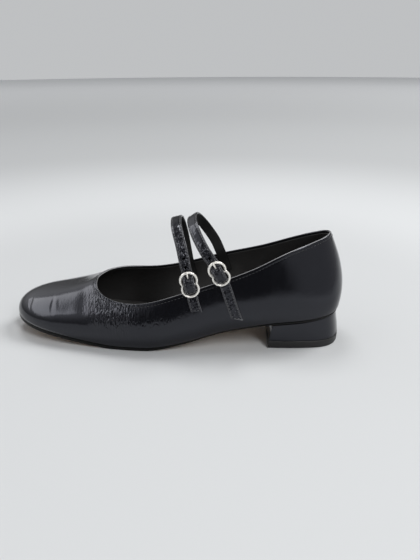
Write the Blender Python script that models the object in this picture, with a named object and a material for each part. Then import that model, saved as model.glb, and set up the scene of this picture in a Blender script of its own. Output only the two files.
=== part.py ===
"""Left ballet flat with two buckled instep straps, women's size of about EU 38.

Frame: metres, +Z up, toe towards -Y, outer side of the foot towards +X, and the
shoe stands on the ground plane with its box centred over the origin.

The shape of the last is one table of ribs. A rib runs up the outside of the upper
from the feather edge, where upper and sole meet, to the collar. A closed spline
runs through the ribs, and every other piece takes its outline from that surface.
Tables and sizes are in millimetres. A station is a distance forward of a datum
line just behind the heel, and x is positive on the outer side.
"""
from collections import namedtuple
from math import cos, pi, radians, sin, tan

import bmesh
import bpy
import numpy as np
from mathutils import Matrix, Vector

MM = 0.001
DATUM_Y = 125.0

# Wall, edges and play
GAP = 0.3
WALL = 1.8
MARGIN_WIDTH = 8.0
MARGIN_THICKNESS = 1.6
INSOLE_THICKNESS = 2.6
INSOLE_PLAY = 0.5

# Sole and heel
SOLE_BEVEL = 0.5
HEEL_FRONT_TOP = 55.5
HEEL_FRONT_BOTTOM = 58.5
TOP_LIFT_HEIGHT = 5.5
TOP_LIFT_BEVEL = 0.6

# Straps
STRAP_WIDTH = 7.8
STRAP_THICKNESS = 1.4
STRAP_EDGE = 0.35
END_SLANT_REACH = 9.0
PLAY_INSIDE = 0.6
PLAY_OUTSIDE = 0.2
WALL_TURN = 4.0

# Buckles: two round rings of one wire, side by side along the strap, and a bar
WIRE_RADIUS = 0.75
RING_RADIUS = 5.65
RING_OFFSET = 3.3
PRONG_RADIUS = 0.55
TAB_WIDTH = 7.0
TAB_THICKNESS = 1.0
TAB_SLOT = 1.9
RING_END = RING_OFFSET + RING_RADIUS

# Levels over the buckle's plane: the prong, and the strap's centre beneath and over the bar
PRONG_LEVEL = WIRE_RADIUS + GAP + PRONG_RADIUS
WEAVE_DOWN = WIRE_RADIUS + GAP + STRAP_THICKNESS / 2
WEAVE_UP = PRONG_LEVEL + PRONG_RADIUS + GAP + 0.2 + STRAP_THICKNESS / 2
WEAVE_REACH = 6.8

# Smoothness of the meshes
COLUMNS = 76
ROWS = 12
STATIONS = 46
CURVE_SAMPLES = 360

Rib = namedtuple("Rib", "place feather_s feather_x collar_s collar_x collar_z "
                        "out_low up_low out_high down_high")
RIBS = (
    Rib("back",           4.6,   0.0,  13.2,   0.0, 79.5, 4.5, 16.0,  9.0, 21.0),
    Rib("back outer",     7.4,  16.5,  19.6,  13.5, 79.0, 5.0, 18.0,  7.5, 20.0),
    Rib("seat outer",    19.5,  28.0,  43.0,  24.5, 72.5, 4.5, 17.5,  3.5, 19.0),
    Rib("breast outer",  54.0,  31.0,  66.5,  27.0, 61.5, 5.5, 14.0,  4.5, 16.0),
    Rib("waist outer",   92.0,  31.0,  94.5,  29.5, 51.0, 6.0, 11.5,  4.5, 14.0),
    Rib("arch outer",   125.0,  35.5, 124.5,  32.5, 42.0, 6.0, 11.0,  4.5, 12.0),
    Rib("ball outer",   155.0,  36.0, 152.0,  32.0, 35.4, 4.5, 11.0,  7.5, 10.0),
    Rib("fore outer",   184.0,  31.5, 174.0,  24.5, 36.5, 4.0, 11.5, 10.0,  8.0),
    Rib("toe outer",    214.0,  25.0, 184.0,  14.0, 40.5, 3.5, 13.0, 17.0,  8.5),
    Rib("corner outer", 239.5,  13.0, 186.0,   4.5, 43.5, 3.0, 17.0, 28.0, 12.0),
    Rib("tip",          251.0,  -6.0, 185.4,  -4.0, 43.8, 0.5, 22.0, 31.5, 15.5),
    Rib("corner inner", 244.0, -23.5, 182.4, -12.5, 43.6, 3.0, 22.0, 27.0, 14.0),
    Rib("toe inner",    223.0, -34.5, 178.0, -21.5, 42.7, 4.0, 16.0, 18.0, 10.0),
    Rib("fore inner",   196.0, -38.5, 166.5, -29.5, 41.6, 4.0, 12.0, 10.0,  8.0),
    Rib("ball inner",   168.0, -37.5, 148.0, -33.5, 40.2, 4.5, 11.0,  7.0, 10.0),
    Rib("arch inner",   135.0, -28.5, 121.0, -33.0, 44.0, 7.0, 11.0,  4.5, 12.0),
    Rib("waist inner",   98.0, -20.5,  91.0, -30.5, 52.5, 9.0, 12.0,  4.0, 14.0),
    Rib("breast inner",  58.0, -24.0,  60.0, -26.5, 60.5, 7.0, 15.0,  4.5, 16.0),
    Rib("seat inner",    25.0, -25.5,  36.5, -22.5, 68.5, 6.0, 18.0,  4.0, 19.0),
    Rib("back inner",     8.6, -16.0,  17.6, -13.5, 76.0, 5.0, 18.0,  7.5, 20.0),
)

# Height of the feather edge, and what the outsole does along the shoe. The forefoot
# is level from station 148 to 170, where the shoe stands; past it comes the toe spring.
Section = namedtuple("Section", "s feather_z sole_thickness sole_inset")
SECTIONS = (
    Section(0.0,   28.2, 1.5, 0.6),
    Section(28.0,  23.2, 1.5, 0.6),
    Section(56.0,  20.2, 1.5, 0.9),
    Section(92.0,  13.8, 1.6, 1.6),
    Section(122.0,  6.4, 2.0, 1.4),
    Section(148.0,  2.9, 2.6, 0.6),
    Section(170.0,  2.9, 2.6, 0.4),
    Section(190.0,  4.8, 2.6, 0.3),
    Section(212.0,  7.9, 2.6, 0.2),
    Section(232.0, 10.8, 2.6, 0.1),
    Section(252.0, 14.2, 2.6, 0.0),
)

# How far the covered heel stands in from the seat at its sides and at its back, from the
# seat down to the top lift. The back flares out, up to the station where the sides begin.
HeelLayer = namedtuple("HeelLayer", "part_way inset back_inset")
HEEL_LAYERS = (
    HeelLayer(0.0,  0.6,  1.4),
    HeelLayer(0.35, 0.5,  0.6),
    HeelLayer(0.7,  0.4, -0.6),
    HeelLayer(1.0,  0.3, -1.4),
)
HEEL_SIDES_BEGIN = 34.0

# A strap starts sewn inside the inner wall, arches over the instep, comes down past
# its buckle and lies on the outer wall. Where x is a word, the strap lies on a wall.
# The bar is the route point under the buckle's bar. The tab's points are distances
# up the strap and out from the foot, from that bar down inside the collar.
INSIDE, OUTSIDE = "inside", "outside"
RoutePoint = namedtuple("RoutePoint", "s x z")
Strap = namedtuple("Strap", "name route bar lean end_slant tab")
STRAPS = (
    Strap("front", (
        RoutePoint(116.0, INSIDE, 32.0),
        RoutePoint(117.2, INSIDE, 38.5),
        RoutePoint(118.5, -29.2, 46.5),
        RoutePoint(120.2, -30.0, 57.0),
        RoutePoint(122.4, -28.4, 71.0),
        RoutePoint(124.3, -20.5, 82.5),
        RoutePoint(125.3,  -4.0, 89.0),
        RoutePoint(123.9,  14.0, 86.5),
        RoutePoint(119.9,  27.0, 76.5),
        RoutePoint(117.3,  32.4, 66.0),
        RoutePoint(116.2,  33.4, 61.1),
        RoutePoint(114.5,  33.6, 52.2),
        RoutePoint(112.8,  33.6, 43.3),
        RoutePoint(111.2, OUTSIDE, 37.0),
        RoutePoint(109.5, OUTSIDE, 32.0),
    ), bar=11, lean=13.0, end_slant=18.0,
        tab=((-22.0, -3.4), (-16.0, -5.0), (-11.0, -6.5), (-8.6, -7.2))),
    Strap("rear", (
        RoutePoint(88.0, INSIDE, 38.0),
        RoutePoint(90.2, INSIDE, 45.5),
        RoutePoint(93.4, -26.6, 55.0),
        RoutePoint(97.6, -28.6, 64.0),
        RoutePoint(103.4, -28.5, 73.0),
        RoutePoint(109.9, -19.0, 84.2),
        RoutePoint(113.4, -3.0, 90.6),
        RoutePoint(112.5,  13.0, 88.2),
        RoutePoint(107.4,  26.0, 80.4),
        RoutePoint(102.0,  32.9, 73.0),
        RoutePoint(98.6,  33.6, 68.3),
        RoutePoint(94.2,  32.9, 60.3),
        RoutePoint(90.4,  32.0, 52.1),
        RoutePoint(86.6, OUTSIDE, 41.0),
        RoutePoint(83.8, OUTSIDE, 33.0),
        RoutePoint(81.2, OUTSIDE, 25.5),
    ), bar=11, lean=30.0, end_slant=31.0,
        tab=((-24.0, -3.1), (-18.0, -5.0), (-13.0, -6.8), (-10.2, -7.7))),
)


# ---------------------------------------------------------------- curves and surface

def closed_spline(knots, rows, period, at):
    """Cubic spline through rows of values, closed on itself."""
    count = len(knots)
    step = np.diff(np.append(knots, knots[0] + period))
    matrix = np.zeros((count, count))
    bend = np.zeros_like(rows)
    for i in range(count):
        before, after = i - 1, (i + 1) % count
        matrix[i, before] += step[before]
        matrix[i, i] += 2 * (step[before] + step[i])
        matrix[i, after] += step[i]
        bend[i] = 6 * ((rows[after] - rows[i]) / step[i] - (rows[i] - rows[before]) / step[before])
    bend = np.linalg.solve(matrix, bend)
    at = np.mod(at - knots[0], period) + knots[0]
    i = np.clip(np.searchsorted(knots, at, side="right") - 1, 0, count - 1)
    j = (i + 1) % count
    width = step[i][:, None]
    b = ((at - knots[i]) / step[i])[:, None]
    a = 1 - b
    return a * rows[i] + b * rows[j] + width ** 2 / 6 * ((a ** 3 - a) * bend[i] + (b ** 3 - b) * bend[j])


def smooth_curve(points):
    """A dense curve through the given points, with the distance run at each of its own points."""
    knots = np.concatenate([[0.0], np.cumsum(np.linalg.norm(np.diff(points, axis=0), axis=1))])
    step = np.diff(knots)[:, None]
    leg = np.diff(points, axis=0) / step
    slope = np.zeros_like(points)
    slope[1:-1] = (leg[:-1] * step[1:] + leg[1:] * step[:-1]) / (step[1:] + step[:-1])
    slope[0], slope[-1] = leg[0], leg[-1]
    fine = np.linspace(0, knots[-1], 800)
    i = np.clip(np.searchsorted(knots, fine, side="right") - 1, 0, len(leg) - 1)
    t = ((fine - knots[i]) / step[i, 0])[:, None]
    h = step[i]
    curve = ((2 * t ** 3 - 3 * t ** 2 + 1) * points[i] + (t ** 3 - 2 * t ** 2 + t) * h * slope[i]
             + (3 * t ** 2 - 2 * t ** 3) * points[i + 1] + (t ** 3 - t ** 2) * h * slope[i + 1])
    run = np.concatenate([[0.0], np.cumsum(np.linalg.norm(np.diff(curve, axis=0), axis=1))])
    return curve, run


def along_shoe(column, s):
    """A column of SECTIONS at any station, rising or falling smoothly and flat where it is flat."""
    x = np.array([row.s for row in SECTIONS])
    y = np.array([getattr(row, column) for row in SECTIONS])
    step = np.diff(x)
    leg = np.diff(y) / step
    slope = np.zeros_like(y)
    slope[0], slope[-1] = leg[0], leg[-1]
    for i in range(1, len(x) - 1):
        if leg[i - 1] * leg[i] > 0:
            w1 = 2 * step[i] + step[i - 1]
            w2 = step[i] + 2 * step[i - 1]
            slope[i] = (w1 + w2) / (w1 / leg[i - 1] + w2 / leg[i])
    i = np.clip(np.searchsorted(x, s) - 1, 0, len(leg) - 1)
    t = (s - x[i]) / step[i]
    return ((2 * t ** 3 - 3 * t ** 2 + 1) * y[i] + (t ** 3 - 2 * t ** 2 + t) * step[i] * slope[i]
            + (3 * t ** 2 - 2 * t ** 3) * y[i + 1] + (t ** 3 - t ** 2) * step[i] * slope[i + 1])


def feather_z(s):
    return along_shoe("feather_z", s)


def rib_values(around):
    """The rib table's numbers at any place around the shoe, from 0 at the back, outer side first."""
    rows = np.array([rib[1:] for rib in RIBS])
    middle = (rows[:, 0:2] + rows[:, 2:4]) / 2
    step = np.linalg.norm(np.roll(middle, -1, axis=0) - middle, axis=1)
    knots = np.concatenate([[0.0], np.cumsum(step)[:-1]])
    return closed_spline(knots, rows, step.sum(), around * step.sum())


def outward(curve):
    """Unit vectors square to a closed plan curve of (s, x) points, pointing out of it."""
    along = np.roll(curve, -1, axis=0) - np.roll(curve, 1, axis=0)
    normal = np.stack([-along[:, 1], along[:, 0]], axis=1)
    return normal / np.linalg.norm(normal, axis=1)[:, None]


def skin(around, rows):
    """Outer face of the upper as points[column, row] of (s, x, z), feather edge to collar."""
    value = rib_values(around)
    feather, collar = value[:, 0:2], value[:, 2:4]
    low = feather + outward(feather) * value[:, 5:6]
    high = collar + outward(collar) * value[:, 7:8]
    floor = feather_z(feather[:, 0])
    control = [
        np.column_stack([feather, floor]),
        np.column_stack([low, floor + value[:, 6]]),
        np.column_stack([high, value[:, 4] - value[:, 8]]),
        np.column_stack([collar, value[:, 4]]),
    ]
    t = rows[None, :, None]
    a, b, c, d = (point[:, None, :] for point in control)
    return a * (1 - t) ** 3 + 3 * b * t * (1 - t) ** 2 + 3 * c * t ** 2 * (1 - t) + d * t ** 3


def inner_skin(outer):
    """The outer face moved in by the wall's thickness."""
    across = np.roll(outer, -1, axis=0) - np.roll(outer, 1, axis=0)
    upward = np.gradient(outer, axis=1)
    normal = np.cross(upward, across)
    normal /= np.linalg.norm(normal, axis=2)[:, :, None]
    outside = np.column_stack([outward(outer[:, 0, :2]), np.zeros(len(outer))])
    if np.sum(normal[:, 1] * outside) < 0:
        normal = -normal
    return outer - WALL * normal


def spread_columns(count):
    """Places around the shoe, closer together where the feather edge turns."""
    fine = np.arange(CURVE_SAMPLES) / CURVE_SAMPLES
    edge = rib_values(fine)[:, 0:2]
    leg = np.roll(edge, -1, axis=0) - edge
    length = np.linalg.norm(leg, axis=1)
    heading = np.unwrap(np.arctan2(leg[:, 1], leg[:, 0]))
    full_turn = 2 * pi * np.sign(heading[-1] - heading[0])
    turn = np.abs(np.roll(np.diff(heading, append=heading[0] + full_turn), 1))
    effort = np.cumsum(length / length.sum() + turn / turn.sum())
    effort = np.concatenate([[0.0], effort])
    return np.interp(np.arange(count) / count * effort[-1], effort, np.append(fine, 1.0))


FINE = np.arange(CURVE_SAMPLES) / CURVE_SAMPLES
FEATHER_EDGE = rib_values(FINE)[:, 0:2]
FINE_ROWS = np.linspace(0.0, 1.0, 41)
FINE_SKIN = skin(FINE, FINE_ROWS)
TIP = int(np.argmax(FEATHER_EDGE[:, 0]))


def inset(curve, distance):
    """A closed plan curve moved in, by one distance or by one for each of its points."""
    return curve - outward(curve) * np.reshape(distance, (-1, 1))


def inside_at(height, inner):
    """Plan outline of the upper's inner face at a height above the feather edge."""
    above = inner[:, :, 2] - feather_z(inner[:, :, 0])
    places = []
    for face, level in zip(inner, above):
        places.append([np.interp(height, level, face[:, k]) for k in (0, 1)])
    return np.array(places)


def wall_x(s, z, outer_side, face=FINE_SKIN):
    """x of the upper's outer face at a station and height, on the outer or inner side of the foot."""
    part = face[:TIP] if outer_side else face[TIP:][::-1]
    xs = [np.interp(s, part[:, j, 0], part[:, j, 1]) for j in range(len(FINE_ROWS))]
    zs = [np.interp(s, part[:, j, 0], part[:, j, 2]) for j in range(len(FINE_ROWS))]
    return float(np.interp(z, zs, xs))


# ---------------------------------------------------------------- making meshes

def to_world(points):
    """(s, x, z) in millimetres to (x, y, z) in metres."""
    s, x, z = np.moveaxis(np.asarray(points, dtype=float), -1, 0)
    return np.stack([x, DATUM_Y - s, z], axis=-1) * MM


def material(name, colour, roughness, metallic=0.0):
    made = bpy.data.materials.new(name)
    made.use_nodes = True
    shader = made.node_tree.nodes["Principled BSDF"]
    shader.inputs["Base Color"].default_value = (*colour, 1.0)
    shader.inputs["Roughness"].default_value = roughness
    shader.inputs["Metallic"].default_value = metallic
    made.diffuse_color = (*colour, 1.0)
    return made


def piece(name, vertices, faces, finish, sharp=40.0):
    """One closed mesh object, welded, facing out and shaded smooth between its sharp edges."""
    build = bmesh.new()
    made = [build.verts.new(point) for point in vertices]
    for face in faces:
        build.faces.new([made[k] for k in face])
    bmesh.ops.remove_doubles(build, verts=build.verts, dist=0.000002)
    bmesh.ops.recalc_face_normals(build, faces=build.faces)
    mesh = bpy.data.meshes.new(name)
    build.to_mesh(mesh)
    build.free()
    mesh.materials.append(finish)
    mesh.shade_smooth()
    mesh.set_sharp_from_angle(angle=radians(sharp))
    thing = bpy.data.objects.new(name, mesh)
    bpy.context.collection.objects.link(thing)
    return thing


def ring_faces(rings, size, closed_rings, closed_size=True):
    """Quads between rings of points, and around each ring."""
    faces = []
    for a in range(rings if closed_rings else rings - 1):
        b = (a + 1) % rings
        for i in range(size if closed_size else size - 1):
            j = (i + 1) % size
            faces.append((a * size + i, a * size + j, b * size + j, b * size + i))
    return faces


def plate(name, layers, finish, blunt_front=False):
    """A solid between plan outlines stacked from the top down, cut across at shared stations.

    A layer is an outline of (s, x) points, a height for each station, and, for a blunt
    front, the station where the piece is cut off square.
    """
    turn = pi / 2 if blunt_front else pi
    steps = np.linspace(0.0, turn, STATIONS + 1)
    part = (1 - np.cos(steps)) / (1 - cos(turn))
    vertices = []
    for outline, height, front in layers:
        back_at, tip_at = int(np.argmin(outline[:, 0])), int(np.argmax(outline[:, 0]))
        rolled = np.roll(outline, -back_at, axis=0)
        tip_at = (tip_at - back_at) % len(outline)
        outer_side = rolled[:tip_at + 1]
        inner_side = np.vstack([rolled[tip_at:], rolled[:1]])[::-1]
        last = front if blunt_front else rolled[tip_at, 0]
        s = rolled[0, 0] + (last - rolled[0, 0]) * part
        outer_x = np.interp(s, outer_side[:, 0], outer_side[:, 1])
        inner_x = np.interp(s, inner_side[:, 0], inner_side[:, 1])
        z = height(s)
        outer_run = np.column_stack([s, outer_x, z])
        inner_run = np.column_stack([s, inner_x, z])[::-1]
        vertices.append(np.vstack([outer_run, inner_run]))
    size = len(vertices[0])
    faces = ring_faces(len(vertices), size, closed_rings=False)
    for base in (0, (len(vertices) - 1) * size):
        for k in range(STATIONS):
            faces.append((base + k, base + k + 1, base + size - 2 - k, base + size - 1 - k))
    return piece(name, to_world(np.vstack(vertices)), faces, finish)


def tube(name, points, radii, finish, closed=False, sides=8, square_to=(0, 0, 1)):
    """A round wire along a path that lies in a plane, with the plane's normal given."""
    points = [Vector(point) for point in points]
    normal = Vector(square_to)
    count = len(points)
    vertices = []
    for i, point in enumerate(points):
        before = points[i - 1] if closed or i else point
        after = points[(i + 1) % count] if closed or i < count - 1 else point
        tangent = (after - before).normalized()
        side = tangent.cross(normal).normalized()
        for k in range(sides):
            angle = 2 * pi * (k + 0.5) / sides
            vertices.append(point + radii[i] * (side * cos(angle) + normal * sin(angle)))
    faces = ring_faces(count, sides, closed_rings=closed)
    if not closed:
        faces += [tuple(range(sides)), tuple(range((count - 1) * sides, count * sides))]
    return piece(name, [vertex * MM for vertex in vertices], faces, finish)


def boolean(target, tool, operation):
    """Cut or join with another object, which is then only a guide."""
    modifier = target.modifiers.new(tool.name, "BOOLEAN")
    modifier.object = tool
    modifier.operation = operation
    modifier.solver = "EXACT"
    tool.hide_render = True
    tool.display_type = "WIRE"


# ---------------------------------------------------------------- the pieces

def make_upper(finish):
    """Hollow skin with its lower edge turned in, open at the collar and underneath."""
    rows = np.linspace(0.0, 1.0, ROWS + 1) ** 1.1
    around = spread_columns(COLUMNS)
    outer = skin(around, rows)
    inner = inner_skin(outer)
    edge = outer[:, 0, :2]
    rim = (outer[:, -1] + inner[:, -1]) / 2
    rim[:, 2] += WALL / 4
    foot = inside_at(MARGIN_THICKNESS, inner)
    turned = inset(edge, MARGIN_WIDTH)
    under = feather_z(turned[:, 0])
    rings = [outer[:, j] for j in range(ROWS + 1)]
    rings.append(rim)
    rings += [inner[:, j] for j in range(ROWS, 0, -1)]
    rings.append(np.column_stack([foot, feather_z(foot[:, 0]) + MARGIN_THICKNESS]))
    rings.append(np.column_stack([turned, under + MARGIN_THICKNESS]))
    rings.append(np.column_stack([turned, under]))
    vertices = to_world(np.vstack(rings))
    return piece("upper", vertices, ring_faces(len(rings), COLUMNS, closed_rings=True), finish, sharp=50.0)


def sole_edge(extra=0.0):
    return inset(FEATHER_EDGE, along_shoe("sole_inset", FEATHER_EDGE[:, 0]) + extra)


def sole_top(s):
    return feather_z(s) - GAP


def sole_bottom(s):
    return sole_top(s) - along_shoe("sole_thickness", s)


def make_outsole(finish):
    """Thin sole over the whole length, with its lower edge bevelled."""
    layers = [
        (sole_edge(), sole_top, None),
        (sole_edge(), lambda s: sole_bottom(s) + SOLE_BEVEL, None),
        (sole_edge(SOLE_BEVEL), sole_bottom, None),
    ]
    return plate("outsole", layers, finish)


def make_insole(finish):
    """Insole that fills the upper's foot and drops between its turned-in edges."""
    shoulder = MARGIN_THICKNESS + GAP
    top = shoulder + INSOLE_THICKNESS
    inner = inner_skin(FINE_SKIN)
    between = inset(FEATHER_EDGE, MARGIN_WIDTH + INSOLE_PLAY)
    layers = [
        (inset(inside_at(top, inner), INSOLE_PLAY), lambda s: feather_z(s) + top, None),
        (inset(inside_at(shoulder, inner), INSOLE_PLAY), lambda s: feather_z(s) + shoulder, None),
        (between, lambda s: feather_z(s) + shoulder, None),
        (between, feather_z, None),
    ]
    return plate("insole", layers, finish)


def heel_edge(layer, extra=0.0):
    """Plan outline of the heel at one of its layers."""
    back = np.clip(1 - FEATHER_EDGE[:, 0] / HEEL_SIDES_BEGIN, 0, 1)
    return sole_edge(layer.inset + (layer.back_inset - layer.inset) * back + extra)


def make_heel(finish):
    """Covered block under the seat, its breast leaning forward towards the ground."""
    ground = TOP_LIFT_HEIGHT + GAP
    layers = []
    for layer in HEEL_LAYERS:
        low = layer.part_way

        def height(s, low=low):
            return (sole_bottom(s) - GAP) * (1 - low) + ground * low

        front = HEEL_FRONT_TOP * (1 - low) + HEEL_FRONT_BOTTOM * low
        layers.append((heel_edge(layer), height, front))
    return plate("heel", layers, finish, blunt_front=True)


def make_top_lift(finish):
    """Walking face of the heel."""
    lowest = HEEL_LAYERS[-1]
    layers = [
        (heel_edge(lowest), lambda s: 0 * s + TOP_LIFT_HEIGHT, HEEL_FRONT_BOTTOM),
        (heel_edge(lowest), lambda s: 0 * s + TOP_LIFT_BEVEL, HEEL_FRONT_BOTTOM),
        (heel_edge(lowest, TOP_LIFT_BEVEL), lambda s: 0 * s, HEEL_FRONT_BOTTOM - TOP_LIFT_BEVEL),
    ]
    return plate("top_lift", layers, finish, blunt_front=True)


Path = namedtuple("Path", "centre offset along width facing")


def strap_path(strap):
    """Centre line of a strap before it weaves through its buckle, and the directions it faces.

    The offset runs along the strap from the buckle's bar, and is negative on the instep.
    """
    lift = GAP + STRAP_THICKNESS / 2
    rows = []
    for point in strap.route:
        x = point.x
        if x == INSIDE:
            x = wall_x(point.s, point.z, outer_side=False) + WALL + lift + PLAY_INSIDE
        elif x == OUTSIDE:
            x = wall_x(point.s, point.z, outer_side=True) + lift + PLAY_OUTSIDE
        rows.append((point.s, x, point.z))
    rows = to_world(np.array(rows)) / MM
    curve, run = smooth_curve(rows)
    bar = run[np.argmin(np.linalg.norm(curve - rows[strap.bar], axis=1))]
    offset = np.concatenate([
        np.linspace(-bar, -WEAVE_REACH, 34)[:-1],
        np.linspace(-WEAVE_REACH, WEAVE_REACH, 23),
        np.linspace(WEAVE_REACH, run[-1] - bar, 11)[1:],
    ])
    centre = np.stack([np.interp(offset + bar, run, curve[:, k]) for k in range(3)], axis=1)
    along = np.gradient(centre, offset, axis=0)
    along /= np.linalg.norm(along, axis=1)[:, None]
    across = np.array([-sin(radians(WALL_TURN)), cos(radians(strap.lean)), sin(radians(strap.lean))])
    width = across - (along @ across)[:, None] * along
    width /= np.linalg.norm(width, axis=1)[:, None]
    return Path(centre, offset, along, width, np.cross(along, width))


def buckle_matrix(strap):
    """Place of a buckle: its x across the strap, y up along the strap, z out from the foot."""
    path = strap_path(strap)
    at = int(np.argmin(np.abs(path.offset)))
    origin = path.centre[at] + path.facing[at] * WEAVE_DOWN
    columns = [Vector(path.width[at]), Vector(-path.along[at]), Vector(path.facing[at])]
    turned = Matrix(columns).transposed().to_4x4()
    return Matrix.Translation(Vector(origin) * MM) @ turned


def make_strap(strap, finish):
    """Band that rises over its buckle's bar and dips under both rings."""
    path = strap_path(strap)
    near = np.abs(path.offset) < WEAVE_REACH
    weave = np.where(near, np.cos(pi * path.offset / (2 * WEAVE_REACH)) ** 2, 0.0)
    centre = path.centre + path.facing * ((WEAVE_DOWN + WEAVE_UP) * weave)[:, None]
    along = np.gradient(centre, path.offset, axis=0)
    along /= np.linalg.norm(along, axis=1)[:, None]
    facing = np.cross(along, path.width)
    half_width, half_thick = STRAP_WIDTH / 2, STRAP_THICKNESS / 2
    section = [
        (-half_width + STRAP_EDGE, half_thick), (half_width - STRAP_EDGE, half_thick), (half_width, 0.0),
        (half_width - STRAP_EDGE, -half_thick), (-half_width + STRAP_EDGE, -half_thick), (-half_width, 0.0),
    ]
    to_end = path.offset[-1] - path.offset
    slant = np.clip(1 - to_end / END_SLANT_REACH, 0, 1) ** 2 * tan(radians(strap.end_slant))
    vertices = []
    for i, point in enumerate(centre):
        for w, n in section:
            vertices.append(point + path.width[i] * w + facing[i] * n + along[i] * (w * slant[i]))
    count, size = len(centre), len(section)
    faces = ring_faces(count, size, closed_rings=False)
    faces += [tuple(range(size)), tuple(range((count - 1) * size, count * size))]
    band = piece("strap_" + strap.name, np.array(vertices) * MM, faces, finish)
    hole = tube("hole_" + strap.name, [(0, 0, PRONG_LEVEL), (0, RING_END, PRONG_LEVEL)],
                [PRONG_RADIUS + GAP] * 2, finish, square_to=(1, 0, 0))
    hole.matrix_world = buckle_matrix(strap)
    boolean(band, hole, "DIFFERENCE")
    return band


def make_buckle(strap, finish):
    """Figure-eight wire frame with a bar across its waist."""
    dip = np.arcsin(RING_OFFSET / RING_RADIUS)
    arc = np.linspace(-dip, pi + dip, 19)
    upper = [(RING_RADIUS * cos(a), RING_OFFSET + RING_RADIUS * sin(a), 0) for a in arc]
    lower = [(-x, -y, z) for x, y, z in upper]
    path = upper[:-1] + lower[:-1]
    frame = tube("buckle_" + strap.name, path, [WIRE_RADIUS] * len(path), finish, closed=True)
    reach = RING_RADIUS * cos(dip)
    bar = tube("bar_" + strap.name, [(-reach, 0, 0), (reach, 0, 0)], [WIRE_RADIUS * 0.95] * 2, finish)
    for thing in (frame, bar):
        thing.matrix_world = buckle_matrix(strap)
    boolean(frame, bar, "UNION")
    return frame


def make_prong(strap, finish):
    """Wire tongue, bent round the bar and resting over the upper ring."""
    turn = np.radians(np.linspace(340, 90, 13))
    path = [(0, PRONG_LEVEL * cos(a), PRONG_LEVEL * sin(a)) for a in turn]
    path += [(0, y, PRONG_LEVEL) for y in np.linspace(0, RING_END, 5)[1:]]
    path += [(0, RING_END + 1.0, PRONG_LEVEL - 0.1)]
    radii = [PRONG_RADIUS] * (len(path) - 1) + [PRONG_RADIUS * 0.7]
    prong = tube("prong_" + strap.name, path, radii, finish, sides=6, square_to=(1, 0, 0))
    prong.matrix_world = buckle_matrix(strap)
    return prong


def make_tab(strap, finish):
    """Short band from inside the collar that carries the buckle's bar in its folded end."""
    radius = WIRE_RADIUS + GAP + TAB_THICKNESS / 2
    turn = np.radians(np.linspace(-62, 183, 15))
    path = np.array(list(strap.tab) + [(radius * cos(a), radius * sin(a)) for a in turn])
    along = np.gradient(path, axis=0)
    along /= np.linalg.norm(along, axis=1)[:, None]
    normal = np.stack([-along[:, 1], along[:, 0]], axis=1)
    vertices = []
    for point, side in zip(path, normal):
        for w, n in ((-1, -1), (1, -1), (1, 1), (-1, 1)):
            y, z = point + side * n * TAB_THICKNESS / 2
            vertices.append((w * TAB_WIDTH / 2, y, z))
    count = len(path)
    faces = ring_faces(count, 4, closed_rings=False)
    faces += [(0, 1, 2, 3), tuple(range(4 * count - 4, 4 * count))]
    tab = piece("tab_" + strap.name, np.array(vertices) * MM, faces, finish)
    reach = radius + TAB_THICKNESS
    slot = tube("slot_" + strap.name, [(0, -reach, 0), (0, reach, 0)], [2 ** 0.5] * 2, finish,
                sides=4, square_to=(1, 0, 0))
    slot.data.transform(Matrix.Diagonal((TAB_SLOT / 2, 1, reach, 1)))
    for thing in (tab, slot):
        thing.matrix_world = buckle_matrix(strap)
    boolean(tab, slot, "DIFFERENCE")
    return tab


def stand_on_origin(things):
    """Move everything so that the box of the shoe is centred over the origin, on the ground."""
    bpy.context.view_layer.update()
    graph = bpy.context.evaluated_depsgraph_get()
    corners = []
    for thing in things:
        solid = thing.evaluated_get(graph)
        corners += [solid.matrix_world @ vertex.co for vertex in solid.data.vertices]
    low = [min(corner[k] for corner in corners) for k in range(3)]
    high = [max(corner[k] for corner in corners) for k in range(3)]
    shift = Vector((-(low[0] + high[0]) / 2, -(low[1] + high[1]) / 2, -low[2]))
    for thing in bpy.data.objects:
        thing.matrix_world = Matrix.Translation(shift) @ thing.matrix_world


for old in list(bpy.data.objects):
    bpy.data.objects.remove(old, do_unlink=True)

patent = material("patent_leather", (0.012, 0.012, 0.014), 0.16)
lining = material("lining", (0.02, 0.02, 0.02), 0.6)
sole_leather = material("sole_leather", (0.32, 0.22, 0.14), 0.55)
rubber = material("rubber", (0.015, 0.015, 0.015), 0.5)
metal = material("pale_metal", (0.83, 0.79, 0.72), 0.25, metallic=1.0)

shoe = [
    make_upper(patent),
    make_outsole(sole_leather),
    make_insole(lining),
    make_heel(patent),
    make_top_lift(rubber),
]
for strap in STRAPS:
    shoe += [make_strap(strap, patent), make_tab(strap, patent)]
    shoe += [make_buckle(strap, metal), make_prong(strap, metal)]
stand_on_origin(shoe)
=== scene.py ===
"""Left ballet flat in black crinkled patent leather, with two buckled straps over the instep.

Each section is one piece of the shoe, or a group of like pieces, in the order in which the
shoe is put together. Sizes are in millimetres. A station is a distance forward of a line
just behind the heel, and x is positive on the outer side of the foot.
"""
from collections import namedtuple
from math import cos, pi, radians, sin, tan

import bmesh
import bpy
import numpy as np
from mathutils import Matrix, Vector, noise


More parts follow.
